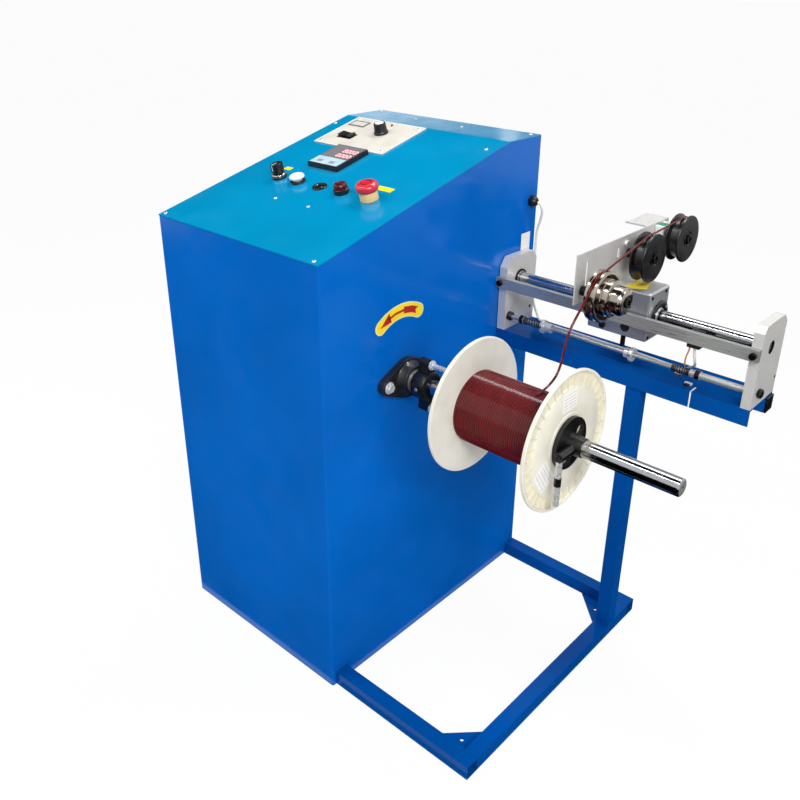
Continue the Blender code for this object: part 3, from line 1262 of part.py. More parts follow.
def emergency_stop():
    """Mushroom head on its ring."""
    bezel("estop_base", CREAM, ESTOP_X, ESTOP_BASE_HEIGHT, bore_radius(ESTOP_STEM_RADIUS, SMALL_STEPS),
          ESTOP_BASE_RADIUS)
    low = ESTOP_BASE_HEIGHT + ESTOP_TRAVEL + GAP * 2
    top = low + ESTOP_HEAD_HEIGHT
    head = ESTOP_HEAD_RADIUS
    profile = [(0, top), (head * 0.5, top - 0.001), (head * 0.8, top - 0.003), (head, top - 0.008),
               (head, low + 0.002),
               (head * 0.9, low), (ESTOP_STEM_RADIUS, low), (ESTOP_STEM_RADIUS, ESTOP_TRAVEL), (0,
                                                                                                ESTOP_TRAVEL)]
    return turned("estop_head", RED, profile, on_slope(ESTOP_X, CONTROL_V, 0), (0, 0, 0), ROUND_STEPS,
                  SLOPE)


# Gland, sensor, wire and leads

def cable_gland():
    """Plastic gland in the cabinet's side, open for its cable."""
    radius = GLAND_RADIUS
    bore = CABLE_DIAMETER / 2 + GAP
    profile = [(bore, GLAND_LENGTH), (radius * 0.75, GLAND_LENGTH), (radius, GLAND_LENGTH * 0.7),
               (radius, GAP),
               (GLAND_NECK_RADIUS, GAP), (GLAND_NECK_RADIUS, -GLAND_LENGTH), (bore, -GLAND_LENGTH)]
    return turned("cable_gland", BLACK_PLASTIC, profile, (0, GLAND_Y, GLAND_Z), steps=SMALL_STEPS)


def sensor():
    """Small switch fixed on the back of the guide bar, with a lug on the bar."""
    front = GUIDE_BAR_BACK_Y + GAP
    return box("sensor", BLACK_PLASTIC, (SENSOR_X, front, SENSOR_LOW_Z),
               (SENSOR_X + SENSOR_LENGTH, front + SENSOR_DEPTH,
                SENSOR_LOW_Z + SENSOR_HEIGHT), bevel=SENSOR_EDGE)


def smooth_route(route, step):
    """Evenly spaced points on a smooth curve through a route's points."""
    stations = []
    for i in range(len(route) - 1):
        before = route[max(i - 1, 0)]
        after = route[min(i + 2, len(route) - 1)]
        for k in range(16):
            t = k / 16
            first = (2 * route[i] + (route[i + 1] - before) * t
                     + (2 * before - 5 * route[i] + 4 * route[i + 1] - after) * t * t
                     + (3 * route[i] - before - 3 * route[i + 1] + after) * t * t * t)
            stations.append(first / 2)
    stations.append(route[-1])
    length = sum((b - a).length for a, b in zip(stations, stations[1:]))
    count = max(2, round(length / step))
    points = [stations[0]]
    walked = 0.0
    for a, b in zip(stations, stations[1:]):
        part = (b - a).length
        while part and walked + part >= length * len(points) / count and len(points) < count:
            points.append(a.lerp(b, (length * len(points) / count - walked) / part))
        walked += part
    points.append(stations[-1])
    return points


def cord(name, look, route, diameter):
    points = smooth_route([Vector(p) for p in route], diameter * 3)
    return tube(name, look, points, diameter)


WIRE_X = WHEEL_GROOVE_X
ROLLER_TOP = ROLLER_DRUM_RADIUS + WIRE_DIAMETER / 2 + STEP_ROOM
WHEEL_TOP = WHEEL_GROOVE_RADIUS + WIRE_DIAMETER / 2 + STEP_ROOM


def wire_over_rollers():
    """Wire from behind the rear roller, over both rollers and round the guide wheel's front."""
    start = [(WIRE_X, y, z) for y, z in arc((REAR_ROLLER_Y, REAR_ROLLER_Z), ROLLER_TOP, 0.2, 1.70, 5)]
    middle = [(WIRE_X, y, z) for y, z in arc((FRONT_ROLLER_Y, FRONT_ROLLER_Z), ROLLER_TOP, 1.50, 1.80, 1)]
    wheel = [(WIRE_X, y, z) for y, z in arc((WHEEL_Y, WHEEL_Z), WHEEL_TOP, 1.62, 2.36, 3)]
    end = [(WIRE_X, WHEEL_Y - 0.0485, WHEEL_Z + 0.0112)]
    return cord("wire_over_rollers", WIRE_RED, start + middle + wheel + end, WIRE_DIAMETER)


def wire_to_spool():
    """Free span of the wire, from the guide wheel down to the top of the winding."""
    landing = WINDING_RADIUS + WIRE_DIAMETER / 2 + STEP_ROOM
    touch = [(0.303, y, z) for y, z in arc((SPINDLE_Y, SPINDLE_Z), landing, 1.50, 1.72, 1)]
    route = [(0.3020, 0.3338, 0.8336), (0.3020, 0.3140, 0.8155), (0.3020, 0.2885, 0.7890),
             (0.3022, 0.2765, 0.7640),
             (0.3025, 0.2700, 0.7390), (0.3028, 0.2570, 0.7170), (0.3030, 0.2380, 0.7060)]
    return cord("wire_to_spool", WIRE_RED, route + touch, WIRE_DIAMETER)


def sensor_cable():
    """White cable from the gland down behind the left end plate, along the beam and up to the sensor."""
    lift = BEAM_TOP + CABLE_DIAMETER / 2 + STEP_ROOM
    side = LEFT_PLATE_X + PLATE_THICKNESS / 2
    route = [(GLAND_LENGTH + 0.0018, GLAND_Y, GLAND_Z), (0.0230, GLAND_Y + 0.001, GLAND_Z - 0.0025),
             (0.0250, 0.606, GLAND_Z - 0.020), (0.018, 0.6125, GLAND_Z - 0.042), (side, 0.6125,
                                                                                  GLAND_Z - 0.072),
             (side, 0.6120, 0.760), (side, 0.6120, 0.700),
             (0.016, 0.6125, 0.673), (0.030, 0.6070, 0.652), (0.060, 0.588, lift), (0.150, 0.583, lift),
             (0.280, 0.580, lift), (0.360, 0.575, lift), (0.392, 0.566, lift + 0.004), (0.412, 0.552,
                                                                                        0.664),
             (0.425, 0.536, 0.676), (0.430, 0.519, 0.695), (0.430, 0.512, 0.710), (0.430, 0.511,
                                                                                   SENSOR_LOW_Z - 0.0010)]
    return cord("sensor_cable", WHITE, route, CABLE_DIAMETER)


def orange_lead():
    """Short orange lead from the sensor down to the beam."""
    top = SENSOR_LOW_Z - 0.0005
    route = [(0.4215, 0.5085, top), (0.4200, 0.510, top - 0.010), (0.414, 0.516, 0.695),
             (0.409, 0.528, 0.672),
             (0.404, 0.541, 0.655), (0.395, 0.548, BEAM_TOP + 0.0025), (0.383, 0.551, BEAM_TOP + 0.0020)]
    return cord("orange_lead", ORANGE, route, LEAD_DIAMETER)


def build():
    cabinet_shell()
    sloped_panel()
    rear_top_strip()
    rear_door()
    base_frame()
    traverse_beam()
    beam_tube()
    end_plates()
    guide_bar()
    traverse_shaft()
    carriage_body()
    carriage_cover()
    reversing_lever()
    trip_rod()
    stop_collar("left_stop_collar", LEFT_STOP_X, LEFT_STOP_LENGTH, True)
    stop_collar("right_stop_collar", RIGHT_STOP_X, RIGHT_STOP_LENGTH, False)
    spring("left_spring", LEFT_SPRING_X, LEFT_SPRING_LENGTH)
    spring("right_spring", RIGHT_SPRING_X, RIGHT_SPRING_LENGTH)
    wire_bracket()
    guide_wheel()
    roller("front_roller", FRONT_ROLLER_Y, FRONT_ROLLER_Z)
    roller("rear_roller", REAR_ROLLER_Y, REAR_ROLLER_Z)
    spindle_shaft()
    flange_bearing()
    bearing_stand()
    drive_hub()
    spool()
    winding_core()
    wire_winding()
    clamp_hub()
    clamp_lever()
    motor()
    motor_pulley()
    belts()
    control_plate()
    speed_knob()
    rocker_switch()
    counter()
    selector()
    push_button()
    blank_plug()
    red_lamp()
    emergency_stop()
    cable_gland()
    sensor()
    wire_over_rollers()
    wire_to_spool()
    sensor_cable()
    orange_lead()


build()
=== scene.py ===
"""Wire winding machine: finishes, finer pieces, wire and leads, and the stage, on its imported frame."""

import math

import bmesh
import bpy
from mathutils import Matrix, Vector


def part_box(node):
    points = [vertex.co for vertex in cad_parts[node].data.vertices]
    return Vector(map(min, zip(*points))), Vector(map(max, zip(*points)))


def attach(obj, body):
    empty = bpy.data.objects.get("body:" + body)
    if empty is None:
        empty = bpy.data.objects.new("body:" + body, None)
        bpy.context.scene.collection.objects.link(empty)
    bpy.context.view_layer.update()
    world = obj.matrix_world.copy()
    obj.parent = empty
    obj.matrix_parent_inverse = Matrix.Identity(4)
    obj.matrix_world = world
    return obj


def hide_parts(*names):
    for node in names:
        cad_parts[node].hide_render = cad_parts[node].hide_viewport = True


bl_info = {
    "name": "Wire Winding Machine",
    "version": (1, 0, 0),
    "blender": (4, 5, 0),
    "location": "View3D > Sidebar > Winder",
    "description": "Dresses the frame of a wire winding machine and sets its stage",
    "category": "Object",
}

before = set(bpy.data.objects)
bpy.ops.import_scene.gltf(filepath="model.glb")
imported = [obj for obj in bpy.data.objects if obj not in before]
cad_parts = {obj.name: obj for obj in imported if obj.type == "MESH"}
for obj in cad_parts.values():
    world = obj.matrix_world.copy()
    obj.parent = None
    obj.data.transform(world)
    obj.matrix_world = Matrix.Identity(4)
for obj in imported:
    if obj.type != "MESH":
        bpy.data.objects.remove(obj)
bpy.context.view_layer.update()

# Sizes repeated from the part's source, in metres
FRONT_HEIGHT = 0.900
BACK_HEIGHT = 1.030
SLOPE_DEPTH = 0.510
BEAM_TOP = 0.641
BEAM_FRONT_Y = 0.500
BEAM_DEPTH = 0.105
BEAM_LENGTH = 0.549
GAP = 0.0003
STEP_ROOM = 0.0009
WIRE_DIAMETER = 0.0045
CABLE_DIAMETER = 0.005
LEAD_DIAMETER = 0.003
ROLLER_DRUM_RADIUS = 0.038
WHEEL_GROOVE_RADIUS = 0.039
WHEEL_GROOVE_X = 0.302
WINDING_RADIUS = 0.067
TRAVERSE_RADIUS = 0.0125
SPINDLE_RADIUS = 0.015
ROD_RADIUS = 0.004
BRACKET_WEB_X = 0.259
SENSOR_LOW_Z = 0.724
PLATE_THICKNESS = 0.018
LEFT_PLATE_X = 0.002
GLAND_LENGTH = 0.016

# The cabinet's front right corner on the floor is where the machine's own measures start
SHELL_LOW, SHELL_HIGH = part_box("cabinet_shell")
MACHINE = Matrix.Translation((SHELL_HIGH.x, SHELL_LOW.y, 0))
SLOPE_ANGLE = math.atan2(BACK_HEIGHT - FRONT_HEIGHT, SLOPE_DEPTH)
LID = MACHINE @ Matrix.Translation((0, 0, FRONT_HEIGHT)) @ Matrix.Rotation(SLOPE_ANGLE, 4, "X")


def extent(node, where=MACHINE):
    """Lowest and highest corner of a CAD node, measured in the machine's or another frame."""
    inverse = where.inverted()
    points = [inverse @ vertex.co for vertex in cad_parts[node].data.vertices]
    return (Vector([min(point[i] for point in points) for i in range(3)]),
            Vector([max(point[i] for point in points) for i in range(3)]))


def centre(node, where=MACHINE):
    low, high = extent(node, where)
    return (low + high) / 2


def along_x(node, x=0.0):
    """Frame whose Z runs along the machine's X through the middle of a turned CAD node."""
    middle = centre(node)
    return MACHINE @ Matrix.Translation((x, middle.y, middle.z)) @ Matrix.Rotation(math.pi / 2, 4, "Y")


def on_lid(x, v, height=0.0):
    return LID @ Matrix.Translation((x, v, height))


def off_lid(node):
    """Frame standing on the sloped lid under the middle of a CAD node."""
    middle = centre(node, LID)
    return on_lid(middle.x, middle.y)


# Settings

def linear(code):
    """An sRGB hex colour as linear red, green and blue."""
    channels = [int(code[i:i + 2], 16) / 255 for i in (1, 3, 5)]
    return tuple(c / 12.92 if c <= 0.04045 else ((c + 0.055) / 1.055) ** 2.4 for c in channels)


def colour_setting(name, description, code):
    return bpy.props.FloatVectorProperty(name=name, description=description, subtype="COLOR", size=3,
                                         min=0, max=1, default=linear(code))


class WinderPaint(bpy.types.PropertyGroup):
    body: colour_setting("Body", "Enamel on the cabinet", "#0061BC")
    # The lid's colour is the body's enamel painted lighter: painted light for the stronger light on the slope
    lid: colour_setting("Lid", "Enamel on the sloped lid", "#0084B2")
    # The framing's colour is the same enamel painted darker: painted shade for the tubes and the beam standing in
    # shadow
    framing: colour_setting("Framing", "Enamel on the tubes and the beam", "#004B98")
    peel: bpy.props.FloatProperty(
        name="Orange peel", description="Width of a dimple in the sprayed paint", subtype="DISTANCE",
        min=0.001, max=0.02, default=0.005)


class WinderWire(bpy.types.PropertyGroup):
    first: colour_setting("First strand", "Insulation of one strand", "#74181C")
    second: colour_setting("Second strand", "Insulation of the other strand", "#451215")
    turns: bpy.props.IntProperty(
        name="Turns", description="Turns in the outer layer on the spool", min=10, max=60, default=39)


class WinderStage(bpy.types.PropertyGroup):
    floor: colour_setting("Floor", "Floor and background", "#FAFAFA")
    lens: bpy.props.FloatProperty(
        name="Lens", description="Focal length of the camera", subtype="DISTANCE_CAMERA",
        min=20, max=80, default=38.303)


# Finishes

def add_node(tree, kind, settings=None, links=None):
    """A node with its settings, and with sources linked into its sockets."""
    made = tree.nodes.new("ShaderNode" + kind)
    for key, value in (settings or {}).items():
        if isinstance(key, int) or key in made.inputs:
            made.inputs[key].default_value = value
        else:
            setattr(made, key, value)
    for socket, source in (links or {}).items():
        tree.links.new(source, made.inputs[socket])
    return made


def start_finish(name):
    look = bpy.data.materials.new(name)
    look.use_nodes = True
    tree = look.node_tree
    return look, tree, tree.nodes["Principled BSDF"], add_node(tree, "TexCoord").outputs["Object"]


def set_shader(shader, **values):
    for key, value in values.items():
        socket = shader.inputs[key.replace("_", " ").title().replace("Ior", "IOR")]
        socket.default_value = (*value, 1.0) if isinstance(value, tuple) and len(value) == 3 else value


def tone(colour, factor):
    return tuple(min(1.0, c * factor) for c in colour)


def noise(tree, place, size, detail):
    """Clouds of a real size."""
    return add_node(tree, "TexNoise", {"Scale": 1 / size, "Detail": detail}, {"Vector": place}).outputs[0]


def colour_clouds(tree, shader, place, size, first, second, stretch=None):
    """Base colour that drifts between two; returns the clouds that mix them."""
    if stretch:
        place = add_node(tree, "Mapping", {"Scale": stretch}, {"Vector": place}).outputs[0]
    clouds = noise(tree, place, size, 3.0)
    share = add_node(tree, "MapRange", {"From Min": 0.35, "From Max": 0.65}, {"Value": clouds})
    mixed = add_node(tree, "Mix", {"data_type": "RGBA", 6: (*first, 1), 7: (*second, 1)}, {0: share.outputs[0]})
    tree.links.new(mixed.outputs[2], shader.inputs["Base Color"])
    return clouds


def bump(tree, shader, height, depth, strength=0.5, under=None):
    """Relief of a real depth on a shader; returns its normal for a further bump."""
    links = {"Height": height}
    if under:
        links["Normal"] = under
    made = add_node(tree, "Bump", {"Distance": depth, "Strength": strength}, links)
    tree.links.new(made.outputs[0], shader.inputs["Normal"])
    return made.outputs[0]


def roughen(tree, shader, source, low, high):
    """Roughness that runs between two values with a pattern."""
    made = add_node(tree, "MapRange", {"From Min": 0.3, "From Max": 0.7, "To Min": low, "To Max": high},
                    {"Value": source})
    tree.links.new(made.outputs[0], shader.inputs["Roughness"])


def gloss_enamel(name, setting, shine):
    """Sprayed enamel on sheet steel: an orange peel and a slightly wavy sheet blur what it mirrors."""
    look, tree, shader, place = start_finish(name)
    paint = bpy.context.scene.winder_paint
    colour = tuple(getattr(paint, setting))
    colour_clouds(tree, shader, place, 0.22, tone(colour, 0.93), tone(colour, 1.08))
    roughen(tree, shader, noise(tree, place, 0.06, 5.0), 0.10, 0.22)
    # The sheet bows by a fraction of a millimetre over a hand's width
    bowed = bump(tree, shader, noise(tree, place, 0.28, 1.0), 0.004, 0.4)
    # Real orange peel is about 1 mm wide, too fine for the picture, so it is drawn coarser
    bump(tree, shader, noise(tree, place, paint.peel, 1.0), 0.00012, 0.5, bowed)
    set_shader(shader, specular_ior_level=shine, ior=1.45)
    return look


def worked_metal(name, code, roughness, mark, stretch, depth, spread=0.10, bare=1.0):
    """Metal with the marks that its tool left; what isn't bare is a dull oxide skin."""
    look, tree, shader, place = start_finish(name)
    colour = linear(code)
    marks = colour_clouds(tree, shader, place, mark, tone(colour, 1 - spread), tone(colour, 1 + spread), stretch)
    roughen(tree, shader, marks, roughness * 0.75, roughness * 1.25)
    bump(tree, shader, marks, depth, 0.4)
    set_shader(shader, metallic=bare)
    return look


def plastic(name, code, roughness, grain, depth, dust=1.06, coat=0.0):
    """Moulded plastic: an even colour with a fine spark-eroded grain and a little dust in it."""
    look, tree, shader, place = start_finish(name)
    colour = linear(code)
    clouds = colour_clouds(tree, shader, place, grain * 18, tone(colour, 0.94), tone(colour, dust))
    roughen(tree, shader, clouds, roughness * 0.85, roughness * 1.2)
    bump(tree, shader, noise(tree, place, grain, 2.0), depth)
    set_shader(shader, ior=1.5, coat_weight=coat, coat_roughness=0.1)
    return look


def turned_nylon(name):
    """A turned face of black nylon, a little greyer where the wire and dust have rubbed."""
    look, tree, shader, place = start_finish(name)
    clouds = colour_clouds(tree, shader, place, 0.03, linear("#060607"), linear("#111112"))
    roughen(tree, shader, clouds, 0.26, 0.4)
    bump(tree, shader, noise(tree, place, 0.0016, 2.0), 0.00004)
    set_shader(shader, ior=1.53)
    return look


def fibrous_paper(name):
    look, tree, shader, place = start_finish(name)
    clouds = colour_clouds(tree, shader, place, 0.008, linear("#E9E8E4"), linear("#F3F2EF"))
    bump(tree, shader, clouds, 0.0004)
    set_shader(shader, roughness=0.75)
    return look


def faceted_lens(name):
    """Unlit polycarbonate over a dark well; its facets break up what it mirrors."""
    look, tree, shader, place = start_finish(name)
    colour_clouds(tree, shader, place, 0.004, linear("#30040A"), linear("#640A14"))
    facets = add_node(tree, "TexVoronoi", {"Scale": 1 / 0.0022}, {"Vector": place})
    bump(tree, shader, facets.outputs[0], 0.0006, 0.8)
    set_shader(shader, roughness=0.14, specular_ior_level=0.3)
    return look


def glowing_segment(name):
    """Lit red segments look pale pink at their middle."""
    look, tree, shader, place = start_finish(name)
    colour_clouds(tree, shader, place, 0.003, linear("#F08A8E"), linear("#FFC9CB"))
    tree.links.new(shader.inputs["Base Color"].links[0].from_socket, shader.inputs["Emission Color"])
    set_shader(shader, roughness=0.4, emission_strength=0.9)
    return look


def wire_insulation(name, setting):
    """PVC of one strand: smooth and glossy, with soft uneven tone along its run."""
    look, tree, shader, place = start_finish(name)
    colour = tuple(getattr(bpy.context.scene.winder_wire, setting))
    clouds = colour_clouds(tree, shader, place, 0.03, tone(colour, 0.92), tone(colour, 1.08))
    roughen(tree, shader, clouds, 0.11, 0.17)
    bump(tree, shader, noise(tree, place, 0.002, 1.0), 0.00002)
    set_shader(shader, ior=1.5, specular_ior_level=0.4)
    return look


# Each finish: the record's material slot that it stands for, its maker and the maker's values.
# A metal's values are colour, roughness, size of a mark, stretch, depth, spread of tone and bare share.
# A plastic's are colour, roughness, size of the grain, depth, lighter tone of dust and share of a coat.
FINISHES = {
    # Blue gloss of the cabinet. The lid's enamel is painted lighter than the body's, painted light for the stronger
    # light on the slope; the strip behind it takes the lid's lightened colour too, and more shine as it is seen
    # almost edge on
    "blue_gloss_enamel": ("blue_paint", gloss_enamel, "body", 0.25),
    "blue_gloss_enamel_lid": ("blue_paint", gloss_enamel, "lid", 0.35),
    "blue_gloss_enamel_strip": ("blue_paint", gloss_enamel, "lid", 0.6),
    # The same enamel on the tubes and the beam, painted darker as painted shade for their place in shadow, and duller
    "blue_gloss_enamel_framing": ("blue_paint", gloss_enamel, "framing", 0.08),
    # Milled plate under its pale oxide skin: a fine satin with short cutter marks, 1 mm apart
    "milled_aluminium": ("aluminium", worked_metal, "#DCDBD8", 0.42, 0.0012, (1.0, 0.12, 1.0), 0.00004, 0.05, 0.4),
    # Clear anodised casting: dull light grey with an even grain
    "clear_anodised_aluminium": ("aluminium", worked_metal, "#C6C9CB", 0.48, 0.003, None, 0.00005, 0.05),
    # Ground flat bar: grey with long marks along its length and faint stains
    "ground_steel": ("steel", worked_metal, "#AEB0AF", 0.34, 0.0016, (0.05, 1.0, 1.0), 0.00003, 0.10, 0.6),
    # Hardened and polished shaft: a dark mirror with thin rings left by polishing
    "polished_shaft_steel": ("steel", worked_metal, "#A9ABAE", 0.14, 0.003, (1.0, 0.1, 0.1), 0.000001, 0.03),
    # Bright chrome, its colour dimmed and warmed as a painted reflection of the parts about it
    "bright_chrome": ("steel", worked_metal, "#A69E93", 0.17, 0.0022, (1.0, 0.1, 0.1), 0.000003, 0.06),
    # Zinc plating: pale, and clouded where it has gone dull
    "zinc_plated_steel": ("steel", worked_metal, "#D6D8D7", 0.30, 0.004, None, 0.00003, 0.12, 0.5),
    # Black oxide on screws and springs: near black with a low oily sheen
    "black_oxide_steel": ("dark_steel", worked_metal, "#2B2B2D", 0.38, 0.003, None, 0.00003, 0.18),
    # Cast aluminium of the motor: darker, with a sand-like grain
    "cast_aluminium": ("cast_aluminium", worked_metal, "#6F7275", 0.55, 0.002, None, 0.00015),
    # Black ABS of knobs and cases, with a satin grain
    "black_abs": ("black_plastic", plastic, "#0C0C0D", 0.34, 0.0012, 0.00004, 1.7),
    # Black nylon of the rollers
    "black_nylon": ("black_plastic", turned_nylon),
    # Bearing housing of cast iron under thin black paint: a coarse cast skin, 2 mm lumps
    "black_painted_cast_iron": ("cast_iron", plastic, "#161719", 0.42, 0.0022, 0.0003, 1.9, 0.15),
    # Belt rubber: matt and dusty
    "belt_rubber": ("rubber", plastic, "#1A1A1A", 0.8, 0.002, 0.0001, 1.5),
    # Off-white ABS of the spool; the right flange is creamier, and its thin ribs darker and yellower still
    "off_white_abs": ("cream_plastic", plastic, "#E4E1D6", 0.38, 0.002, 0.00006, 1.03),
    "cream_white_abs": ("cream_plastic", plastic, "#E6E2D2", 0.38, 0.002, 0.00006, 1.03),
    "off_white_abs_thin": ("cream_plastic", plastic, "#E2DABA", 0.42, 0.002, 0.00006, 1.05),
    # Cream plastic ring under the stop button, and the red polycarbonate of its head
    "cream_abs": ("cream_plastic", plastic, "#F0CB8C", 0.4, 0.001, 0.00003),
    "red_polycarbonate": ("red_plastic", plastic, "#CF2438", 0.30, 0.002, 0.00003, 1.06, 0.3),
    # Glossy white button cap
    "white_abs": ("white_plastic", plastic, "#F4F4F2", 0.22, 0.0015, 0.00002, 1.0, 0.3),
    # PVC sheaths, slightly grey from handling
    "white_pvc": ("white_plastic", plastic, "#E6E6E3", 0.38, 0.002, 0.00004),
    "orange_pvc": ("orange_insulation", plastic, "#D99255", 0.4, 0.002, 0.00004),
    # Printed laminate of the control plate: warm pale grey and smooth, with a bright cut edge
    "cream_laminate": ("cream_plastic", plastic, "#D3CFC5", 0.35, 0.002, 0.00002, 1.03),
    "white_laminate_edge": ("white_plastic", plastic, "#F0F3F6", 0.35, 0.002, 0.00002, 1.0),
    # Vinyl film of the labels: flat and even, a little glossy
    "yellow_vinyl": (None, plastic, "#FFDC1E", 0.35, 0.003, 0.00003, 1.04),
    "pale_yellow_vinyl": (None, plastic, "#E6ECA8", 0.35, 0.003, 0.00003, 1.03),
    "red_vinyl": (None, plastic, "#B4201B", 0.35, 0.003, 0.00003, 1.04),
    # Bare label paper: matt, fibrous and slightly cockled, with the grey ruled lines of a blank form
    "label_paper": (None, fibrous_paper),
    "grey_print": (None, plastic, "#8E8F93", 0.7, 0.001, 0.00001),
    # Light blue membrane keys and smoked window of the counter, grey under the lamps
    "light_blue_membrane": (None, plastic, "#A9C6D6", 0.45, 0.0012, 0.00003),
    "smoked_window": (None, plastic, "#7E7B80", 0.15, 0.002, 0.00001, 1.06, 0.5),
    # Red digits of the counter, and a small red diode, faintly lit
    "lit_segments": (None, glowing_segment),
    "red_led_epoxy": (None, plastic, "#8C2A22", 0.2, 0.001, 0.00001, 1.06, 0.5),
    # Green tape on the block between the rollers
    "green_tape": (None, plastic, "#1D8A6A", 0.5, 0.002, 0.00003),
    # Dark red lens of the lamp
    "dark_red_lens": ("dark_red_lens", faceted_lens),
    # Red and dark insulation of the twin wire
    "red_wire_pvc": ("wire_insulation", wire_insulation, "first"),
    "dark_wire_pvc": ("wire_insulation", wire_insulation, "second"),
}
MADE = {}


def finish(name):
    if name not in MADE:
        maker, *values = FINISHES[name][1:]
        MADE[name] = maker(name, *values)
    return MADE[name]


# Shapes, each a bmesh in the row frame

def settle(shape, where, look):
    """Welds a shape's poles, turns its faces outwards and moves it to its place."""
    bmesh.ops.remove_doubles(shape, verts=shape.verts, dist=0.0000005)
    bmesh.ops.recalc_face_normals(shape, faces=shape.faces)
    for face in shape.faces:
        face.material_index = look
    bmesh.ops.transform(shape, matrix=where, verts=shape.verts)
    return shape


def turned(profile, where, look=0, steps=64, ring=False):
    """A profile of radius and height points spun about local Z."""
    shape = bmesh.new()
    verts = [shape.verts.new((radius, 0, height)) for radius, height in profile]
    edges = [shape.edges.new(pair) for pair in zip(verts, verts[1:])]
    if ring:
        edges.append(shape.edges.new((verts[-1], verts[0])))
    bmesh.ops.spin(shape, geom=verts + edges, cent=(0, 0, 0), axis=(0, 0, 1), angle=2 * math.pi,
                   steps=steps, use_merge=True)
    return settle(shape, where, look)


def hoop(profile, where, look=0, steps=64):
    """A closed profile of radius and height points spun about local Z."""
    return turned(profile, where, look, steps, ring=True)


def block(low, high, where=MACHINE, look=0):
    low = Vector(low)
    high = Vector(high)
    shape = bmesh.new()
    bmesh.ops.create_cube(shape, size=1.0)
    bmesh.ops.scale(shape, vec=high - low, verts=shape.verts)
    bmesh.ops.translate(shape, vec=(low + high) / 2, verts=shape.verts)
    return settle(shape, where, look)


def rod(radius, start, end, where=MACHINE, look=0, steps=32):
    """A cylinder between two points."""
    start = Vector(start)
    span = Vector(end) - start
    shape = bmesh.new()
    bmesh.ops.create_cone(shape, cap_ends=True, segments=steps, radius1=radius, radius2=radius, depth=span.length)
    aim = span.to_track_quat("Z", "Y").to_matrix().to_4x4()
    return settle(shape, where @ Matrix.Translation(start + span / 2) @ aim, look)


def drawn_out(shape, faces, height, where, look):
    """Faces drawn out along local Z into a solid."""
    grown = bmesh.ops.extrude_face_region(shape, geom=faces)["geom"]
    moved = [item for item in grown if isinstance(item, bmesh.types.BMVert)]
    bmesh.ops.translate(shape, vec=(0, 0, height), verts=moved)
    return settle(shape, where, look)


def slab(outline, low, high, where, look=0):
    """A closed outline in local X and Y, drawn out along local Z."""
    shape = bmesh.new()
    face = shape.faces.new([shape.verts.new((x, y, low)) for x, y in outline])
    return drawn_out(shape, [face], high - low, where, look)


def pierced(loops, low, high, where, look=0):
    """A flat plate with holes: the first outline in local X and Y is its rim, the others its holes."""
    shape = bmesh.new()
    for outline in loops:
        verts = [shape.verts.new((x, y, low)) for x, y in outline]
        for i, vert in enumerate(verts):
            shape.edges.new((verts[i - 1], vert))
    bmesh.ops.triangle_fill(shape, use_beauty=True, use_dissolve=False, edges=shape.edges)
    return drawn_out(shape, list(shape.faces), high - low, where, look)


def sweep(path, section, look=0, side=None):
    """A closed section carried along a path; the section's X keeps to the side."""
    shape = bmesh.new()
    ring = [shape.verts.new((0, 0, 0)) for point in section]
    edges = [shape.edges.new((ring[i - 1], ring[i])) for i in range(len(ring))]
    first = list(ring)
    for i, point in enumerate(path):
        ahead = path[min(i + 1, len(path) - 1)] - path[max(i - 1, 0)]
        ahead.normalize()
        across = (side - ahead * side.dot(ahead)).normalized()
        up = ahead.cross(across)
        if i:
            grown = bmesh.ops.extrude_edge_only(shape, edges=edges)["geom"]
            edges = [item for item in grown if isinstance(item, bmesh.types.BMEdge)]
            ring = match_ring(ring, edges)
        for vert, (a, b) in zip(ring, section):
            vert.co = point + across * a + up * b
    shape.faces.new(first)
    shape.faces.new(list(reversed(ring)))
    return settle(shape, Matrix.Identity(4), look)


def match_ring(old, edges):
    """The fresh ring's vertices in the order of the old ring that they were drawn from."""
    fresh = {vert for edge in edges for vert in edge.verts}
    result = []
    for vert in old:
        for edge in vert.link_edges:
            other = edge.other_vert(vert)
            if other in fresh:
                result.append(other)
                break
    return result


def make_piece(name, shapes, looks, body="machine", replaces=(), edge=0):
    """One object from several shapes, with rounded edges and smooth faces, riding on a body."""
    whole = bmesh.new()
    for shape in shapes:
        part = bpy.data.meshes.new("part")
        shape.to_mesh(part)
        shape.free()
        whole.from_mesh(part)
        bpy.data.meshes.remove(part)
    mesh = bpy.data.meshes.new(name)
    whole.to_mesh(mesh)
    whole.free()
    mesh.shade_smooth()
    for look in looks:
        mesh.materials.append(finish(look))
    piece = bpy.data.objects.new(name, mesh)
    bpy.context.scene.collection.objects.link(piece)
    if edge:
        bevel = piece.modifiers.new("worn edges", "BEVEL")
        bevel.width = edge
        bevel.segments = 2
        bevel.limit_method = "ANGLE"
        bevel.angle_limit = math.radians(35)
        bevel.harden_normals = True
    else:
        mesh.set_sharp_from_angle(angle=math.radians(40))
    if replaces:
        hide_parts(*replaces)
    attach(piece, body)
    return piece


def dress(look, *nodes):
    """Gives CAD nodes that keep their shape a finish."""
    for name in nodes:
        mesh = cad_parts[name].data
        mesh.materials.clear()
        mesh.materials.append(finish(look))


def arc(centre, radius, start, end, steps):
    turns = [start + (end - start) * i / steps for i in range(steps + 1)]
    return [(centre[0] + radius * math.cos(a), centre[1] + radius * math.sin(a)) for a in turns]


def circle(radius, steps, centre=(0, 0)):
    return arc(centre, radius, 0, 2 * math.pi * (steps - 1) / steps, steps - 1)


def hex_bolt(where, radius, height, look=0, washer=None):
    """Hexagon head with a domed chamfer, on a washer."""
    shapes = [turned([(0, height), (radius * 0.8, height), (radius, height * 0.8), (radius, 0), (0, 0)], where, look,
                     6)]
    if washer:
        shapes.append(turned([(0, height * 0.25), (washer, height * 0.25), (washer, 0), (0, 0)], where, look, 24))
    return shapes


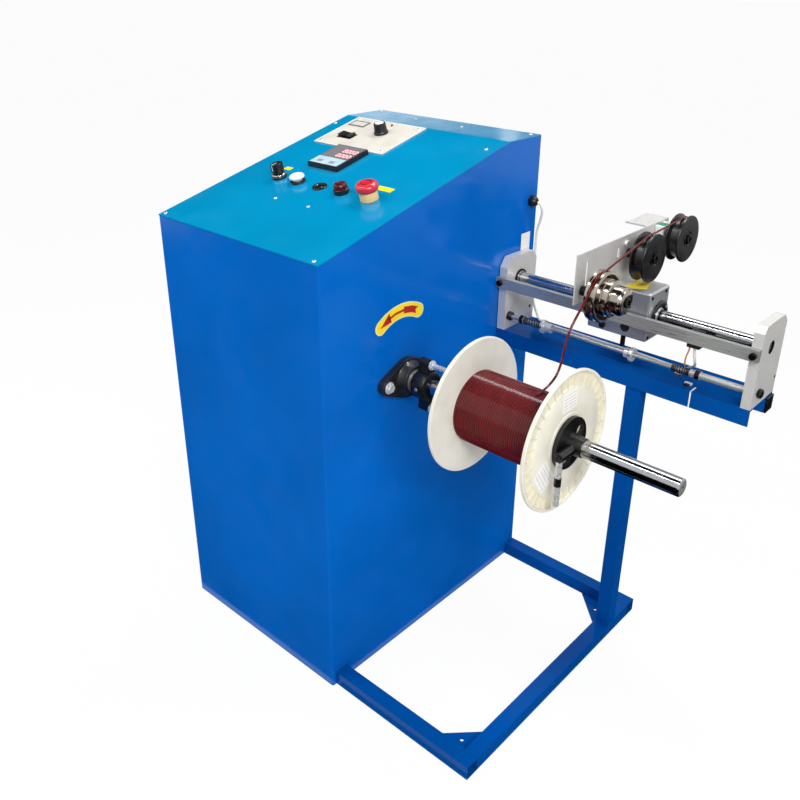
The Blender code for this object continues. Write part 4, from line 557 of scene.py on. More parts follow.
def socket_screw(where, radius, height, look=0, dark=0):
    """Cap screw: a round head with a hexagon socket."""
    well = radius * 0.52
    head = hoop([(well, height), (radius * 0.94, height), (radius, height * 0.88), (radius, 0), (well, 0)], where,
                look, 24)
    # Given a dark look, the socket's walls and floor are painted shade in the recess
    socket = turned([(0, height * 0.35), (well * 1.06, height * 0.35), (well * 1.06, height * 0.97)], where, dark, 6)
    return [head, socket]


def pan_screw(where, radius, height, look=0, dark=0):
    """Small pan head with a cross recess."""
    profile = [(0, height)] + [(radius * math.sin(a), height * math.cos(a)) for a in (0.4, 0.8, 1.15)]
    shapes = [turned(profile + [(radius, 0), (0, 0)], where, look, 20)]
    # Given a dark look, the cross recess is two thin bars of painted shade on the head
    arm = radius * 0.5
    slot = radius * 0.1
    shapes.append(block((-arm, -slot, height * 0.9), (arm, slot, height * 1.02), where, dark))
    shapes.append(block((-slot, -arm, height * 0.9), (slot, arm, height * 1.02), where, dark))
    return shapes


def offset(where, z):
    return where @ Matrix.Translation((0, 0, z))


def rectangle(low, high, margin=0.0):
    """Outline of a box's top, made smaller by a margin all round."""
    x, y = low.x + margin, low.y + margin
    far_x, far_y = high.x - margin, high.y - margin
    return [(x, y), (far_x, y), (far_x, far_y), (x, far_y)]


def facing(x, y, z, axis):
    """Frame at a machine point whose Z looks along an axis."""
    aim = Vector(axis).to_track_quat("Z", "Y").to_matrix().to_4x4()
    return MACHINE @ Matrix.Translation((x, y, z)) @ aim


# Wire and leads

def smooth_route(route, step):
    """Evenly spaced points on a smooth curve through a route's points."""
    stations = []
    for i in range(len(route) - 1):
        before = route[max(i - 1, 0)]
        after = route[min(i + 2, len(route) - 1)]
        for k in range(16):
            t = k / 16
            first = (2 * route[i] + (route[i + 1] - before) * t
                     + (2 * before - 5 * route[i] + 4 * route[i + 1] - after) * t * t
                     + (3 * route[i] - before - 3 * route[i + 1] + after) * t * t * t)
            stations.append(first / 2)
    stations.append(route[-1])
    length = route_length(stations)
    count = max(2, round(length / step))
    points = [stations[0]]
    walked = 0.0
    for a, b in zip(stations, stations[1:]):
        part = (b - a).length
        while part and walked + part >= length * len(points) / count and len(points) < count:
            points.append(a.lerp(b, (length * len(points) / count - walked) / part))
        walked += part
    points.append(stations[-1])
    return points


def route_length(points):
    return sum((b - a).length for a, b in zip(points, points[1:]))


def machine_route(points, step):
    return smooth_route([MACHINE @ Vector(point) for point in points], step)


def round_section(radius, steps):
    return circle(radius, steps)


def twin_wire(name, path, body, replaces):
    """Two strands side by side, laid across the rollers."""
    half = WIRE_DIAMETER / 4
    strands = []
    for look, offset in ((0, -half), (1, half)):
        section = [(x + offset, y) for x, y in round_section(half * 1.04, 10)]
        strands.append(sweep(path, section, look, Vector((1, 0, 0))))
    piece = make_piece(name, strands, ["red_wire_pvc", "dark_wire_pvc"], body, replaces)
    return piece


def round_cable(name, look, path, diameter, body, replaces):
    """A round cable as a curve, both ends going into a piece."""
    curve = bpy.data.curves.new(name, "CURVE")
    curve.dimensions = "3D"
    curve.bevel_depth = diameter / 2
    curve.bevel_resolution = 4
    curve.use_fill_caps = True
    line = curve.splines.new("POLY")
    line.points.add(len(path) - 1)
    for point, co in zip(line.points, path):
        point.co = (*co, 1)
    line.use_smooth = True
    curve.materials.append(finish(look))
    piece = bpy.data.objects.new(name, curve)
    bpy.context.scene.collection.objects.link(piece)
    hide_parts(*replaces)
    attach(piece, body)
    return piece


def axis_point(node):
    low, high = extent(node)
    middle = (low + high) / 2
    return middle.y, middle.z


class WINDER_OT_wire(bpy.types.Operator):
    """Twin wire over the rollers and down to the winding"""
    bl_idname = "winder.wire"
    bl_label = "Wire"

    def execute(self, context):
        wheel_y, wheel_z = axis_point("guide_wheel")
        front = axis_point("front_roller")
        rear = axis_point("rear_roller")
        spindle = axis_point("spool")
        roller_top = ROLLER_DRUM_RADIUS + WIRE_DIAMETER / 2 + STEP_ROOM
        wheel_top = WHEEL_GROOVE_RADIUS + WIRE_DIAMETER / 2 + STEP_ROOM
        over = arc(rear, roller_top, 0.2, 1.7, 5) + arc(front, roller_top, 1.5, 1.8, 1)
        over += arc((wheel_y, wheel_z), wheel_top, 1.62, 2.36, 3) + [(wheel_y - 0.0485, wheel_z + 0.0112)]
        path = machine_route([(WHEEL_GROOVE_X, y, z) for y, z in over], 0.003)
        path.reverse()
        end = path[-1]
        knot = hoop([(0.0006, 0.0022), (0.0034, 0.0016), (0.0042, 0), (0.0034, -0.0016), (0.0006, -0.0022)],
                    Matrix.Translation(end) @ Matrix.Rotation(1.2, 4, "Y"), 0, 16)
        wrap = hoop([(0.0028, 0.0012), (0.0044, 0), (0.0028, -0.0012)],
                    Matrix.Translation(end - Vector((0, 0, 0.001))), 1, 16)
        tied = make_piece("wire_end_knot", [knot, wrap], ["red_wire_pvc", "dark_wire_pvc"], "carriage")
        twin_wire("wire_run_over_rollers", path, "carriage", ["wire_over_rollers"])

        landing = WINDING_RADIUS + WIRE_DIAMETER / 2 + STEP_ROOM
        route = [(0.302, 0.3338, 0.8336), (0.302, 0.314, 0.8155), (0.302, 0.2885, 0.789),
                 (0.3022, 0.2765, 0.764), (0.3025, 0.27, 0.739), (0.3028, 0.257, 0.717),
                 (0.303, 0.238, 0.706)]
        route += [(0.303, y, z) for y, z in arc(spindle, landing, 1.5, 1.72, 1)]
        path = machine_route(route, 0.003)
        path.reverse()
        twin_wire("wire_run_to_spool", path, "machine", ["wire_to_spool"])
        return {"FINISHED"}


class WINDER_OT_leads(bpy.types.Operator):
    """White sensor cable and short orange lead"""
    bl_idname = "winder.leads"
    bl_label = "Leads"

    def execute(self, context):
        low, high = extent("cable_gland")
        gland_y = (low.y + high.y) / 2
        gland_z = (low.z + high.z) / 2
        lift = BEAM_TOP + CABLE_DIAMETER / 2 + STEP_ROOM
        side = LEFT_PLATE_X + PLATE_THICKNESS / 2
        route = [(GLAND_LENGTH + 0.0018, gland_y, gland_z), (0.023, gland_y + 0.001, gland_z - 0.0025),
                 (0.025, 0.606, 0.877), (0.018, 0.6125, 0.855), (side, 0.6125, 0.825), (side, 0.612, 0.76),
                 (side, 0.612, 0.7), (0.016, 0.6125, 0.673), (0.03, 0.607, 0.652), (0.06, 0.588, lift),
                 (0.15, 0.583, lift), (0.28, 0.58, lift), (0.36, 0.575, lift), (0.392, 0.566, lift + 0.004),
                 (0.412, 0.552, 0.664), (0.425, 0.536, 0.676), (0.43, 0.519, 0.695), (0.43, 0.512, 0.71),
                 (0.43, 0.511, SENSOR_LOW_Z - 0.001)]
        round_cable("white_sensor_cable", "white_pvc", machine_route(route, 0.006), CABLE_DIAMETER, "machine",
                    ["sensor_cable"])
        top = SENSOR_LOW_Z - 0.0005
        route = [(0.4215, 0.5085, top), (0.42, 0.51, top - 0.01), (0.414, 0.516, 0.695),
                 (0.409, 0.528, 0.672), (0.404, 0.541, 0.655), (0.395, 0.548, BEAM_TOP + 0.0025),
                 (0.383, 0.551, BEAM_TOP + 0.002)]
        round_cable("orange_sensor_lead", "orange_pvc", machine_route(route, 0.004), LEAD_DIAMETER, "machine",
                    ["orange_lead"])
        return {"FINISHED"}


# Painted body

class WINDER_OT_body(bpy.types.Operator):
    """Enamel on the cabinet, the frame and the beam, with the screws of the lid"""
    bl_idname = "winder.body"
    bl_label = "Body and frame"

    def execute(self, context):
        dress("blue_gloss_enamel_strip", "rear_top_strip")
        dress("blue_gloss_enamel", "cabinet_shell", "rear_door", "bearing_stand")
        dress("blue_gloss_enamel_framing", "front_tube", "back_tube", "cross_tube", "frame_post", "traverse_beam",
              "beam_tube")
        dress("blue_gloss_enamel_lid", "sloped_panel")
        dress("belt_rubber", "drive_belt", "traverse_belt")
        dress("cast_aluminium", "motor")
        dress("black_oxide_steel", "motor_pulley")
        screws = []
        for x, v in ((-0.44, 0.01), (-0.018, 0.009), (-0.022, 0.48), (-0.443, 0.48)):
            screws += pan_screw(on_lid(x, v), 0.0038, 0.0018, 0, 1)
        for x, v in ((-0.272, 0.148), (-0.181, 0.149)):
            screws += pan_screw(on_lid(x, v), 0.0034, 0.0022, 0, 1)
        for x, y in ((-0.44, 0.61), (-0.304, 0.577), (-0.172, 0.575), (-0.017, 0.607)):
            screws += pan_screw(facing(x, y, BACK_HEIGHT, (0, 0, 1)), 0.0038, 0.0018, 0, 1)
        make_piece("lid_screws", screws, ["zinc_plated_steel", "black_oxide_steel"])
        y0 = BEAM_FRONT_Y + BEAM_DEPTH - 0.03
        plug = [block((BEAM_LENGTH - 0.012, y0 + 0.002, BEAM_TOP - 0.0313),
                      (BEAM_LENGTH + 0.0005, y0 + 0.028, BEAM_TOP - 0.0053)),
                block((BEAM_LENGTH + 0.0002, y0, BEAM_TOP - 0.0335),
                      (BEAM_LENGTH + 0.004, y0 + 0.03, BEAM_TOP - 0.0035))]
        make_piece("beam_end_plug", plug, ["black_abs"], edge=0.001)
        return {"FINISHED"}


def radial(points):
    """Points given as a radius and an angle in degrees."""
    return [(radius * math.cos(math.radians(angle)), radius * math.sin(math.radians(angle)))
            for radius, angle in points]


def curved_band(radius, half, start, end, low, high, where, look):
    """A band bent round an arc, with round ends; start and end are degrees at the caps' middles."""
    a, b = math.radians(start), math.radians(end)
    outline = arc((0, 0), radius + half, b, a, 16)
    outline += arc((radius * math.cos(a), radius * math.sin(a)), half, a, a + math.pi, 12)[1:]
    outline += arc((0, 0), radius - half, a, b, 16)[1:]
    outline += arc((radius * math.cos(b), radius * math.sin(b)), half, b + math.pi, b + 2 * math.pi, 12)[1:-1]
    return slab(outline, low, high, where, look)


class WINDER_OT_side_labels(bpy.types.Operator):
    """Curved direction arrow, white tag and small blank labels"""
    bl_idname = "winder.side_labels"
    bl_label = "Labels"

    def execute(self, context):
        side = facing(0, 0.2012, 0.6712, (1, 0, 0))
        shapes = [curved_band(0.0945, 0.0145, 126, 61, 0.0001, 0.0003, side, 2),
                  curved_band(0.0945, 0.0122, 126, 61, 0.0003, 0.0005, side, 0)]
        # The tail has a notch, and the shaft runs on into the head
        tail = radial([(0.101, 64), (0.101, 74), (0.101, 87), (0.088, 87), (0.088, 74), (0.088, 64), (0.0945, 67)])
        shaft = radial([(0.0968, 87), (0.0968, 100), (0.0966, 112), (0.0924, 112), (0.0922, 100), (0.0922, 87)])
        head = radial([(0.1045, 109), (0.0945, 127), (0.0845, 109)])
        shapes += [slab(points, 0.0005, 0.0007, side, 1) for points in (tail, shaft, head)]
        make_piece("direction_arrow", shapes, ["yellow_vinyl", "red_vinyl", "pale_yellow_vinyl"])

        tag = block((0.0002, 0.572, 0.787), (0.0008, 0.603, 0.831))
        make_piece("white_tag", [tag], ["label_paper"])
        labels = []
        for x0, x1, v0, v1 in ((-0.112, -0.073, 0.255, 0.27), (-0.364, -0.346, 0.251, 0.263)):
            labels.append(block((x0, v0, 0.0002), (x1, v1, 0.0006), LID))
        make_piece("control_labels", labels, ["yellow_vinyl"])
        return {"FINISHED"}


# Traverse

class WINDER_OT_traverse(bpy.types.Operator):
    """End plates, guide bar, shaft and their bolts"""
    bl_idname = "winder.traverse"
    bl_label = "Traverse frame"

    def execute(self, context):
        dress("milled_aluminium", "left_end_plate", "right_end_plate")
        dress("ground_steel", "guide_bar")
        low, high = extent("traverse_shaft")
        left_low, left_high = extent("left_end_plate")
        right_low, right_high = extent("right_end_plate")
        radius = TRAVERSE_RADIUS
        shaft = along_x("traverse_shaft")
        pulley = 0.034
        pulley_end = low.x + 0.024
        # Its end, seen in the right plate's bore, is a drilled hole lined in black oxide as painted shade
        well = radius - 0.003
        depth = 0.014
        bar = turned([(0, high.x - depth), (well, high.x - depth), (well, high.x), (radius - 0.001, high.x),
                      (radius, high.x - 0.001), (radius, pulley_end), (pulley, pulley_end), (pulley, low.x),
                      (0, low.x)], shaft)
        end = turned([(0, 0.0002 - depth), (well - 0.0001, 0.0002 - depth), (well - 0.0001, -0.0004)],
                     offset(shaft, high.x), 1, 40)
        make_piece("traverse_shaft_bar", [bar, end], ["polished_shaft_steel", "black_oxide_steel"], "traverse",
                   ["traverse_shaft"])
        # A black sleeve lining the bore beyond the shaft's end is painted shade, so that the bore reads as a dark
        # hole
        seat = (high.x + 0.0005, right_high.x - 0.0004)
        liner = hoop([(radius + 0.0002, seat[1]), (radius - 0.0008, seat[1]), (radius - 0.0008, seat[0]),
                      (radius + 0.0002, seat[0])], shaft, 0, 48)
        make_piece("shaft_end_bush", [liner], ["black_abs"])
        ring = hoop([(radius + 0.0005, 0.0035), (0.0185, 0.0035), (0.0185, 0), (radius + 0.0005, 0)],
                    offset(shaft, left_high.x + 0.0001), 0, 48)
        race = hoop([(radius + 0.0004, 0.0045), (0.015, 0.0045), (0.015, 0.003), (radius + 0.0004, 0.003)],
                    offset(shaft, left_high.x), 1, 48)
        make_piece("shaft_bearing_ring", [ring, race], ["black_oxide_steel", "ground_steel"], edge=0.0003)
        socket = hoop([(0.0045, 0.009), (0.008, 0.009), (0.0095, 0.007), (0.0095, 0), (0.0045, 0)],
                      offset(along_x("trip_rod"), left_high.x + 0.0001), 0, 32)
        make_piece("rod_socket", [socket], ["black_abs"], edge=0.0003)

        bar_low, bar_high = extent("guide_bar")
        bolts = []
        for plate_low in (left_low, right_low):
            bolts += socket_screw(facing(plate_low.x + PLATE_THICKNESS / 2, bar_low.y, (bar_low.z + bar_high.z) / 2,
                                         (0, -1, 0)), 0.0065, 0.006)
        make_piece("guide_bar_bolts", bolts, ["black_oxide_steel"], edge=0.0003)
        foot = hex_bolt(facing(right_high.x, 0.525, 0.667, (1, 0, 0)), 0.0085, 0.008)
        foot += pan_screw(facing(right_high.x, 0.598, 0.674, (1, 0, 0)), 0.003, 0.0008)
        make_piece("plate_bolts", foot, ["black_oxide_steel"], edge=0.0005)
        # A flat black disc on the plate's face stands for a hole; its black is painted shade
        hole = rod(0.0035, (left_high.x + 0.00005, 0.592, 0.67), (left_high.x + 0.0002, 0.592, 0.67))
        make_piece("plate_hole", [hole], ["black_abs"])
        clip = [block((0.418, 0.515, BEAM_TOP + 0.0002), (0.428, 0.521, BEAM_TOP + 0.004)),
                block((0.416, 0.521, BEAM_TOP + 0.0002), (0.43, 0.529, BEAM_TOP + 0.0035), look=1)]
        make_piece("tie_mount", clip, ["black_abs", "white_abs"], edge=0.0004)
        # The tie hangs over the beam's front edge
        front = BEAM_FRONT_Y - 0.0012
        over = BEAM_TOP + 0.0012
        tie = [block((0.4385, front, 0.609), (0.441, front + 0.001, over)),
               block((0.4385, front, over - 0.001), (0.441, BEAM_FRONT_Y + 0.02, over))]
        make_piece("cable_tie", tie, ["white_abs"])
        return {"FINISHED"}


def facing_side(x):
    """Frame on a face that looks along X, with its own X and Y along the machine's Y and Z."""
    turn = Matrix(((0, 0, 1, 0), (1, 0, 0, 0), (0, 1, 0, 0), (0, 0, 0, 1)))
    return MACHINE @ Matrix.Translation((x, 0, 0)) @ turn


class WINDER_OT_carriage(bpy.types.Operator):
    """Carriage housing with its cover, screws and lever"""
    bl_idname = "winder.carriage"
    bl_label = "Carriage"

    def execute(self, context):
        dress("clear_anodised_aluminium", "carriage_body")
        dress("milled_aluminium", "wire_bracket")
        dress("black_oxide_steel", "reversing_lever")
        low, high = extent("carriage_body")
        radius = TRAVERSE_RADIUS
        shaft = along_x("traverse_shaft")
        cover = hoop([(radius + 0.0008, 0.0012), (0.019, 0.0012), (0.0205, 0.004), (0.0285, 0.004), (0.031, 0.0025),
                      (0.031, 0), (radius + 0.0008, 0)], offset(shaft, high.x + GAP))
        race = hoop([(radius + 0.0006, 0.0028), (0.0155, 0.0028), (0.0165, 0.0014), (0.0165, 0.0008),
                     (radius + 0.0006, 0.0008)], offset(shaft, high.x + GAP), 1)
        shapes = [cover, race]
        for angle in (0.6, 2.7, 4.8):
            y, z = axis_point("traverse_shaft")
            shapes += socket_screw(facing(high.x + GAP + 0.0036, y + 0.0245 * math.cos(angle),
                                          z + 0.0245 * math.sin(angle), (1, 0, 0)),
                                   0.0024, 0.0012, 1, 0)
        make_piece("carriage_cover_ring", shapes, ["black_abs", "zinc_plated_steel"], "carriage", ["carriage_cover"],
                   edge=0.0003)
        screws = []
        for y, z in ((0.567, 0.792), (0.513, 0.791), (0.513, 0.713), (0.569, 0.713)):
            screws += socket_screw(facing(high.x, y, z, (1, 0, 0)), 0.0034, 0.0012)
        screws += hex_bolt(facing(0.245, low.y, 0.717, (0, -1, 0)), 0.007, 0.005, 0)
        make_piece("carriage_screws", screws, ["black_oxide_steel"], "carriage", edge=0.0003)
        # A flat black disc on the carriage's front stands for its port; its black is painted shade
        bore = turned([(0, 0.0002), (0.0095, 0.0002), (0.0095, 0.0001), (0, 0.0001)],
                      facing(0.292, low.y, 0.725, (0, -1, 0)), 0, 40)
        make_piece("carriage_port", [bore], ["black_abs"], "carriage")
        label = slab([(0.262, 0.55), (0.303, 0.575), (0.316, 0.527), (0.284, 0.509)], high.z + 0.0001,
                     high.z + 0.0004, MACHINE)
        make_piece("carriage_label", [label], ["yellow_vinyl"], "carriage")
        sensor_low, sensor_high = extent("sensor")
        case = [block(sensor_low, sensor_high),
                block((sensor_low.x + 0.004, sensor_low.y + 0.006, sensor_high.z - 0.001),
                      (sensor_high.x - 0.004, sensor_high.y - 0.006, sensor_high.z + 0.003))]
        make_piece("sensor_case", case, ["black_abs"], "machine", ["sensor"], edge=0.001)
        return {"FINISHED"}


class WINDER_OT_trip_rod(bpy.types.Operator):
    """Trip rod, its springs and its stop collars"""
    bl_idname = "winder.trip_rod"
    bl_label = "Trip rod"

    def execute(self, context):
        low, high = extent("trip_rod")
        axis = along_x("trip_rod")
        left_low, left_high = extent("left_spring")
        right_low, right_high = extent("right_spring")
        thin = ROD_RADIUS
        thick = 0.0065
        collar = 0.0085
        step = 0.01
        start = left_low.x
        end = right_high.x
        points = [(thick - 0.0008, high.x), (thick, high.x - 0.0008), (thick, end + 0.021), (collar, end + 0.0205),
                  (collar, end + 0.0105),
                  (thick + 0.0006, end + 0.01), (thick + 0.0006, end + 0.0006), (thin, end + 0.0003),
                  (thin, start - 0.0004),
                  (collar - 0.0005, start - 0.0006), (collar, start - 0.0012), (collar, start - step),
                  (thin, start - step - 0.0003),
                  (thin, low.x)]
        bar = turned([(0, high.x)] + points + [(0, low.x)], axis, 0, 40)
        band = [(collar + 0.0001, 0.0095), (collar + 0.0006, 0.009), (collar + 0.0006, 0.001),
                (collar + 0.0001, 0.0005)]
        bands = [hoop(band, offset(axis, x), 1, 40) for x in (start - step, end + 0.0105)]
        make_piece("trip_rod_bar", [bar] + bands, ["ground_steel", "black_oxide_steel"], "rod", ["trip_rod"])

        y, z = axis_point("trip_rod")
        for name, first, last in (("left", left_low.x, left_high.x), ("right", right_low.x, right_high.x)):
            wire = 0.0009
            coils = 9
            count = coils * 20
            path = []
            for i in range(count + 1):
                share = i / count
                # The end coils lie closed against each other, as a cut and ground spring's do
                eased = share + 0.06 * math.sin(2 * math.pi * share) * -1
                x = first + wire + (last - first - 2 * wire) * eased
                angle = 2 * math.pi * i / 20
                path.append(MACHINE @ Vector((x, y + 0.0064 * math.cos(angle), z + 0.0064 * math.sin(angle))))
            coil = sweep(path, round_section(wire, 8), 0, Vector((1, 0, 0.001)))
            make_piece(name + "_spring_coil", [coil], ["black_oxide_steel"], "rod", [name + "_spring"])

        for name, body, flip in (("left_stop_collar", "stop_left", False), ("right_stop_collar", "stop_right", True)):
            c_low, c_high = extent(name)
            length = c_high.x - c_low.x
            wide = 0.014
            slim = 0.0095
            bore = thin + 0.0004
            ends = [(bore, length), (slim, length), (slim, 0.007), (wide * 0.94, 0.007), (wide, 0.006), (wide, 0.001),
                    (wide * 0.94, 0), (bore, 0)]
            where = offset(axis, c_low.x)
            if flip:
                where = axis @ Matrix.Translation((0, 0, c_high.x)) @ Matrix.Rotation(math.pi, 4, "X")
            shapes = [hoop(ends, where, 0, 48)]
            middle = c_high.x - 0.0035 if flip else c_low.x + 0.0035
            shapes += socket_screw(facing(middle, y - 0.0128, z + 0.002, (0, -1, 0)), 0.0024, 0.0018, 1, 1)
            make_piece(name + "_clamp", shapes, ["zinc_plated_steel", "black_oxide_steel"], body, [name], edge=0.0003)
        return {"FINISHED"}


def axle_parts(name):
    """Shoulder bolt through the bracket: nut behind the web, spacer, and a socket head outside."""
    low, high = extent(name)
    where = along_x(name)
    web = BRACKET_WEB_X
    shank = 0.0048
    shapes = [turned([(0, high.x), (shank, high.x), (shank, web - 0.011), (0, web - 0.011)], where, 0, 24),
              hoop([(shank, low.x - 0.0004), (0.0088, low.x - 0.0004), (0.0088, web + 0.0033), (shank, web + 0.0033)],
                   where, 0, 32)]
    shapes += hex_bolt(offset(where, web - 0.0004) @ Matrix.Rotation(math.pi, 4, "X"), 0.0092, 0.007, 0, 0.0105)
    return shapes + socket_screw(offset(where, high.x + GAP), 0.0095, 0.0038)


class WINDER_OT_rollers(bpy.types.Operator):
    """Guide wheel and the two flanged rollers on their bolts"""
    bl_idname = "winder.rollers"
    bl_label = "Guide wheel and rollers"

    def execute(self, context):
        low, high = extent("guide_wheel")
        groove = WHEEL_GROOVE_X
        bottom = WHEEL_GROOVE_RADIUS
        rim = 0.046
        end = high.x
        # Bright steel with a deep groove at the back, a broad drum and a stepped nose
        profile = [(0.0054, end), (0.02, end), (0.0215, end - 0.001), (0.022, end - 0.003), (0.0245, end - 0.005),
                   (0.0255, end - 0.007)]
        profile += [(radius, groove + x) for radius, x in (
            (0.0255, 0.027), (0.031, 0.0262), (0.033, 0.0248), (0.033, 0.02), (0.0318, 0.019), (0.0318, 0.015),
            (0.033, 0.014), (0.033, 0.0108), (0.04, 0.0105), (0.045, 0.01), (rim, 0.009), (rim, 0.0052),
            (0.045, 0.0044), (bottom + 0.0006, 0.0028), (bottom, 0.0018), (bottom, -0.0018),
                                                           (bottom + 0.0006, -0.0028),
            (0.045, -0.0044), (rim, -0.0052), (rim, -0.009), (0.045, -0.01), (0.0054, -0.01))]
        make_piece("guide_wheel_turned", [hoop(profile, along_x("guide_wheel"), 0, 96)], ["bright_chrome"], "wheel",
                   ["guide_wheel"])
        make_piece("guide_wheel_bolt", axle_parts("guide_wheel"), ["black_oxide_steel"], "carriage", ["wheel_axle"],
                   edge=0.0003)
        for name, body in (("front_roller", "roller_front"), ("rear_roller", "roller_rear")):
            low, high = extent(name)
            where = along_x(name, (low.x + high.x) / 2)
            half = (high.x - low.x) / 2
            r = 0.0457
            side = [(0.0054, half - 0.0002), (0.012, half - 0.0002), (0.0125, half - 0.0022), (0.015, half - 0.0022),
                    (0.0158, half - 0.0004), (r * 0.93, half), (r - 0.0006, half), (r, half - 0.0008),
                    (r, half - 0.0036), (ROLLER_DRUM_RADIUS + 0.0008, half - 0.0064),
                    (ROLLER_DRUM_RADIUS, half - 0.007)]
            profile = side + [(radius, -height) for radius, height in reversed(side)]
            seat = hoop([(0.0054, half - 0.0006), (0.0118, half - 0.0006), (0.0118, half - 0.003),
                         (0.0054, half - 0.003)], where, 1, 48)
            make_piece(name + "_turned", [hoop(profile, where, 0, 96), seat], ["black_nylon", "black_oxide_steel"],
                       body, [name])
            make_piece(name + "_bolt", axle_parts(name), ["black_oxide_steel"], "carriage", [name + "_axle"],
                       edge=0.0003)
        gate = [block((0.2625, 0.64, 0.866), (0.28, 0.682, 0.8885)),
                block((0.263, 0.646, 0.8885), (0.279, 0.664, 0.89), look=1)]
        make_piece("gate_block", gate, ["white_abs", "green_tape"], "carriage", edge=0.0008)
        bolt = hex_bolt(facing(0.2625, 0.529, 0.877, (1, 0, 0)), 0.0065, 0.0045, 0, 0.0085)
        make_piece("bracket_bolt", bolt, ["zinc_plated_steel"], "carriage", edge=0.0004)
        return {"FINISHED"}


# Spindle

class WINDER_OT_spindle(bpy.types.Operator):
    """Spindle, its flange bearing and the drive hub with two pins"""
    bl_idname = "winder.spindle"
    bl_label = "Spindle and bearing"

    def execute(self, context):
        low, high = extent("spindle_shaft")
        where = along_x("spindle_shaft")
        r = SPINDLE_RADIUS
        profile = [(0, high.x - 0.0005), (0.0025, high.x - 0.0005), (0.003, high.x), (r - 0.002, high.x),
                   (r, high.x - 0.002)]
        half = 0.012
        for pulley, x in ((0.034, -0.06), (0.06, -0.11)):
            profile += [(r, x + half), (pulley, x + half), (pulley, x - half), (r, x - half)]
        end = turned([(0.003, 0.0001), (r - 0.0022, 0.0001), (r - 0.0022, -0.0001)], offset(where, high.x), 1)
        make_piece("spindle_bar", [turned(profile + [(r, low.x), (0, low.x)], where, 0, 96), end],
                   ["polished_shaft_steel", "ground_steel"], "spindle", ["spindle_shaft"])

        y, z = axis_point("spindle_shaft")
        spacing = 0.057
        outline = []
        for dy, radius, first, last, steps in ((0, 0.04, 66, 114, 10), (-spacing, 0.017, 118, 242, 14),
                                               (0, 0.04, 246, 294, 10), (spacing, 0.017, -62, 62, 14)):
            outline += arc((y + dy, z), radius, math.radians(first), math.radians(last), steps)
        bore = r + 0.009
        boss = hoop([(bore, 0.0305), (0.0285, 0.031), (0.031, 0.0295), (0.0335, 0.016), (0.037, 0.0125),
                     (bore, 0.0125)], where, 0, 72)
        race = hoop([(r + 0.0005, 0.0305), (r + 0.0045, 0.0305), (r + 0.0045, 0.0275), (bore, 0.0275), (bore, 0.02),
                     (r + 0.0005, 0.02)], where, 1, 72)
        shapes = [slab(outline, 0.0003, 0.014, facing_side(0)), boss, race]
        for bolt_y in (y - spacing, y + spacing):
            shapes.append(turned([(0, 0.015), (0.0125, 0.015), (0.0135, 0.0142), (0.0135, 0.012), (0, 0.012)],
                                 facing(0, bolt_y, z, (1, 0, 0)), 0, 32))
            shapes += hex_bolt(facing(0.015, bolt_y, z, (1, 0, 0)), 0.0098, 0.0075, 2, 0.0118)
        nipple = facing(0.02, y - 0.012, z + 0.0335, (0.2, -0.35, 1))
        shapes.append(turned([(0, 0.007), (0.0012, 0.0065), (0.0018, 0.0055), (0.0012, 0.0045), (0.0022, 0.003),
                              (0.0022, -0.003), (0, -0.003)], nipple, 2, 16))
        make_piece("flange_bearing_housing", shapes, ["black_painted_cast_iron", "ground_steel", "zinc_plated_steel"],
                   "machine", ["flange_bearing"], edge=0.001)

        low, high = extent("drive_hub")
        reach = 0.044
        tip = high.x
        end = low.x + 0.03
        shapes = [hoop([(r + 0.0004, end), (0.0245, end), (0.0275, end - 0.002), (0.029, end - 0.005),
                        (0.029, low.x + 0.004), (0.027, low.x), (r + 0.0004, low.x)], where, 0, 72)]
        for sign in (-1, 1):
            pin = z + sign * reach
            arm = sorted((z + sign * 0.02, pin))
            shapes.append(rod(0.0095, (low.x + 0.004, y, pin), (end - 0.002, y, pin), steps=40))
            shapes.append(block((low.x + 0.005, y - 0.0088, arm[0]), (end - 0.003, y + 0.0088, arm[1])))
            shapes += hex_bolt(facing(end - 0.002, y, pin, (1, 0, 0)), 0.0085, 0.0065, 1, 0.0095)
            shapes.append(turned([(0, tip), (0.004, tip), (0.0048, tip - 0.001), (0.0048, end), (0, end)],
                                 facing(0, y, pin, (1, 0, 0)), 1, 32))
        shapes += socket_screw(facing(low.x + 0.015, y - 0.0286, z, (0, -1, 0)), 0.0032, 0.0008, 1)
        make_piece("drive_hub_with_pins", shapes, ["black_abs", "zinc_plated_steel"], "spindle", ["drive_hub"],
                   edge=0.0006)
        return {"FINISHED"}


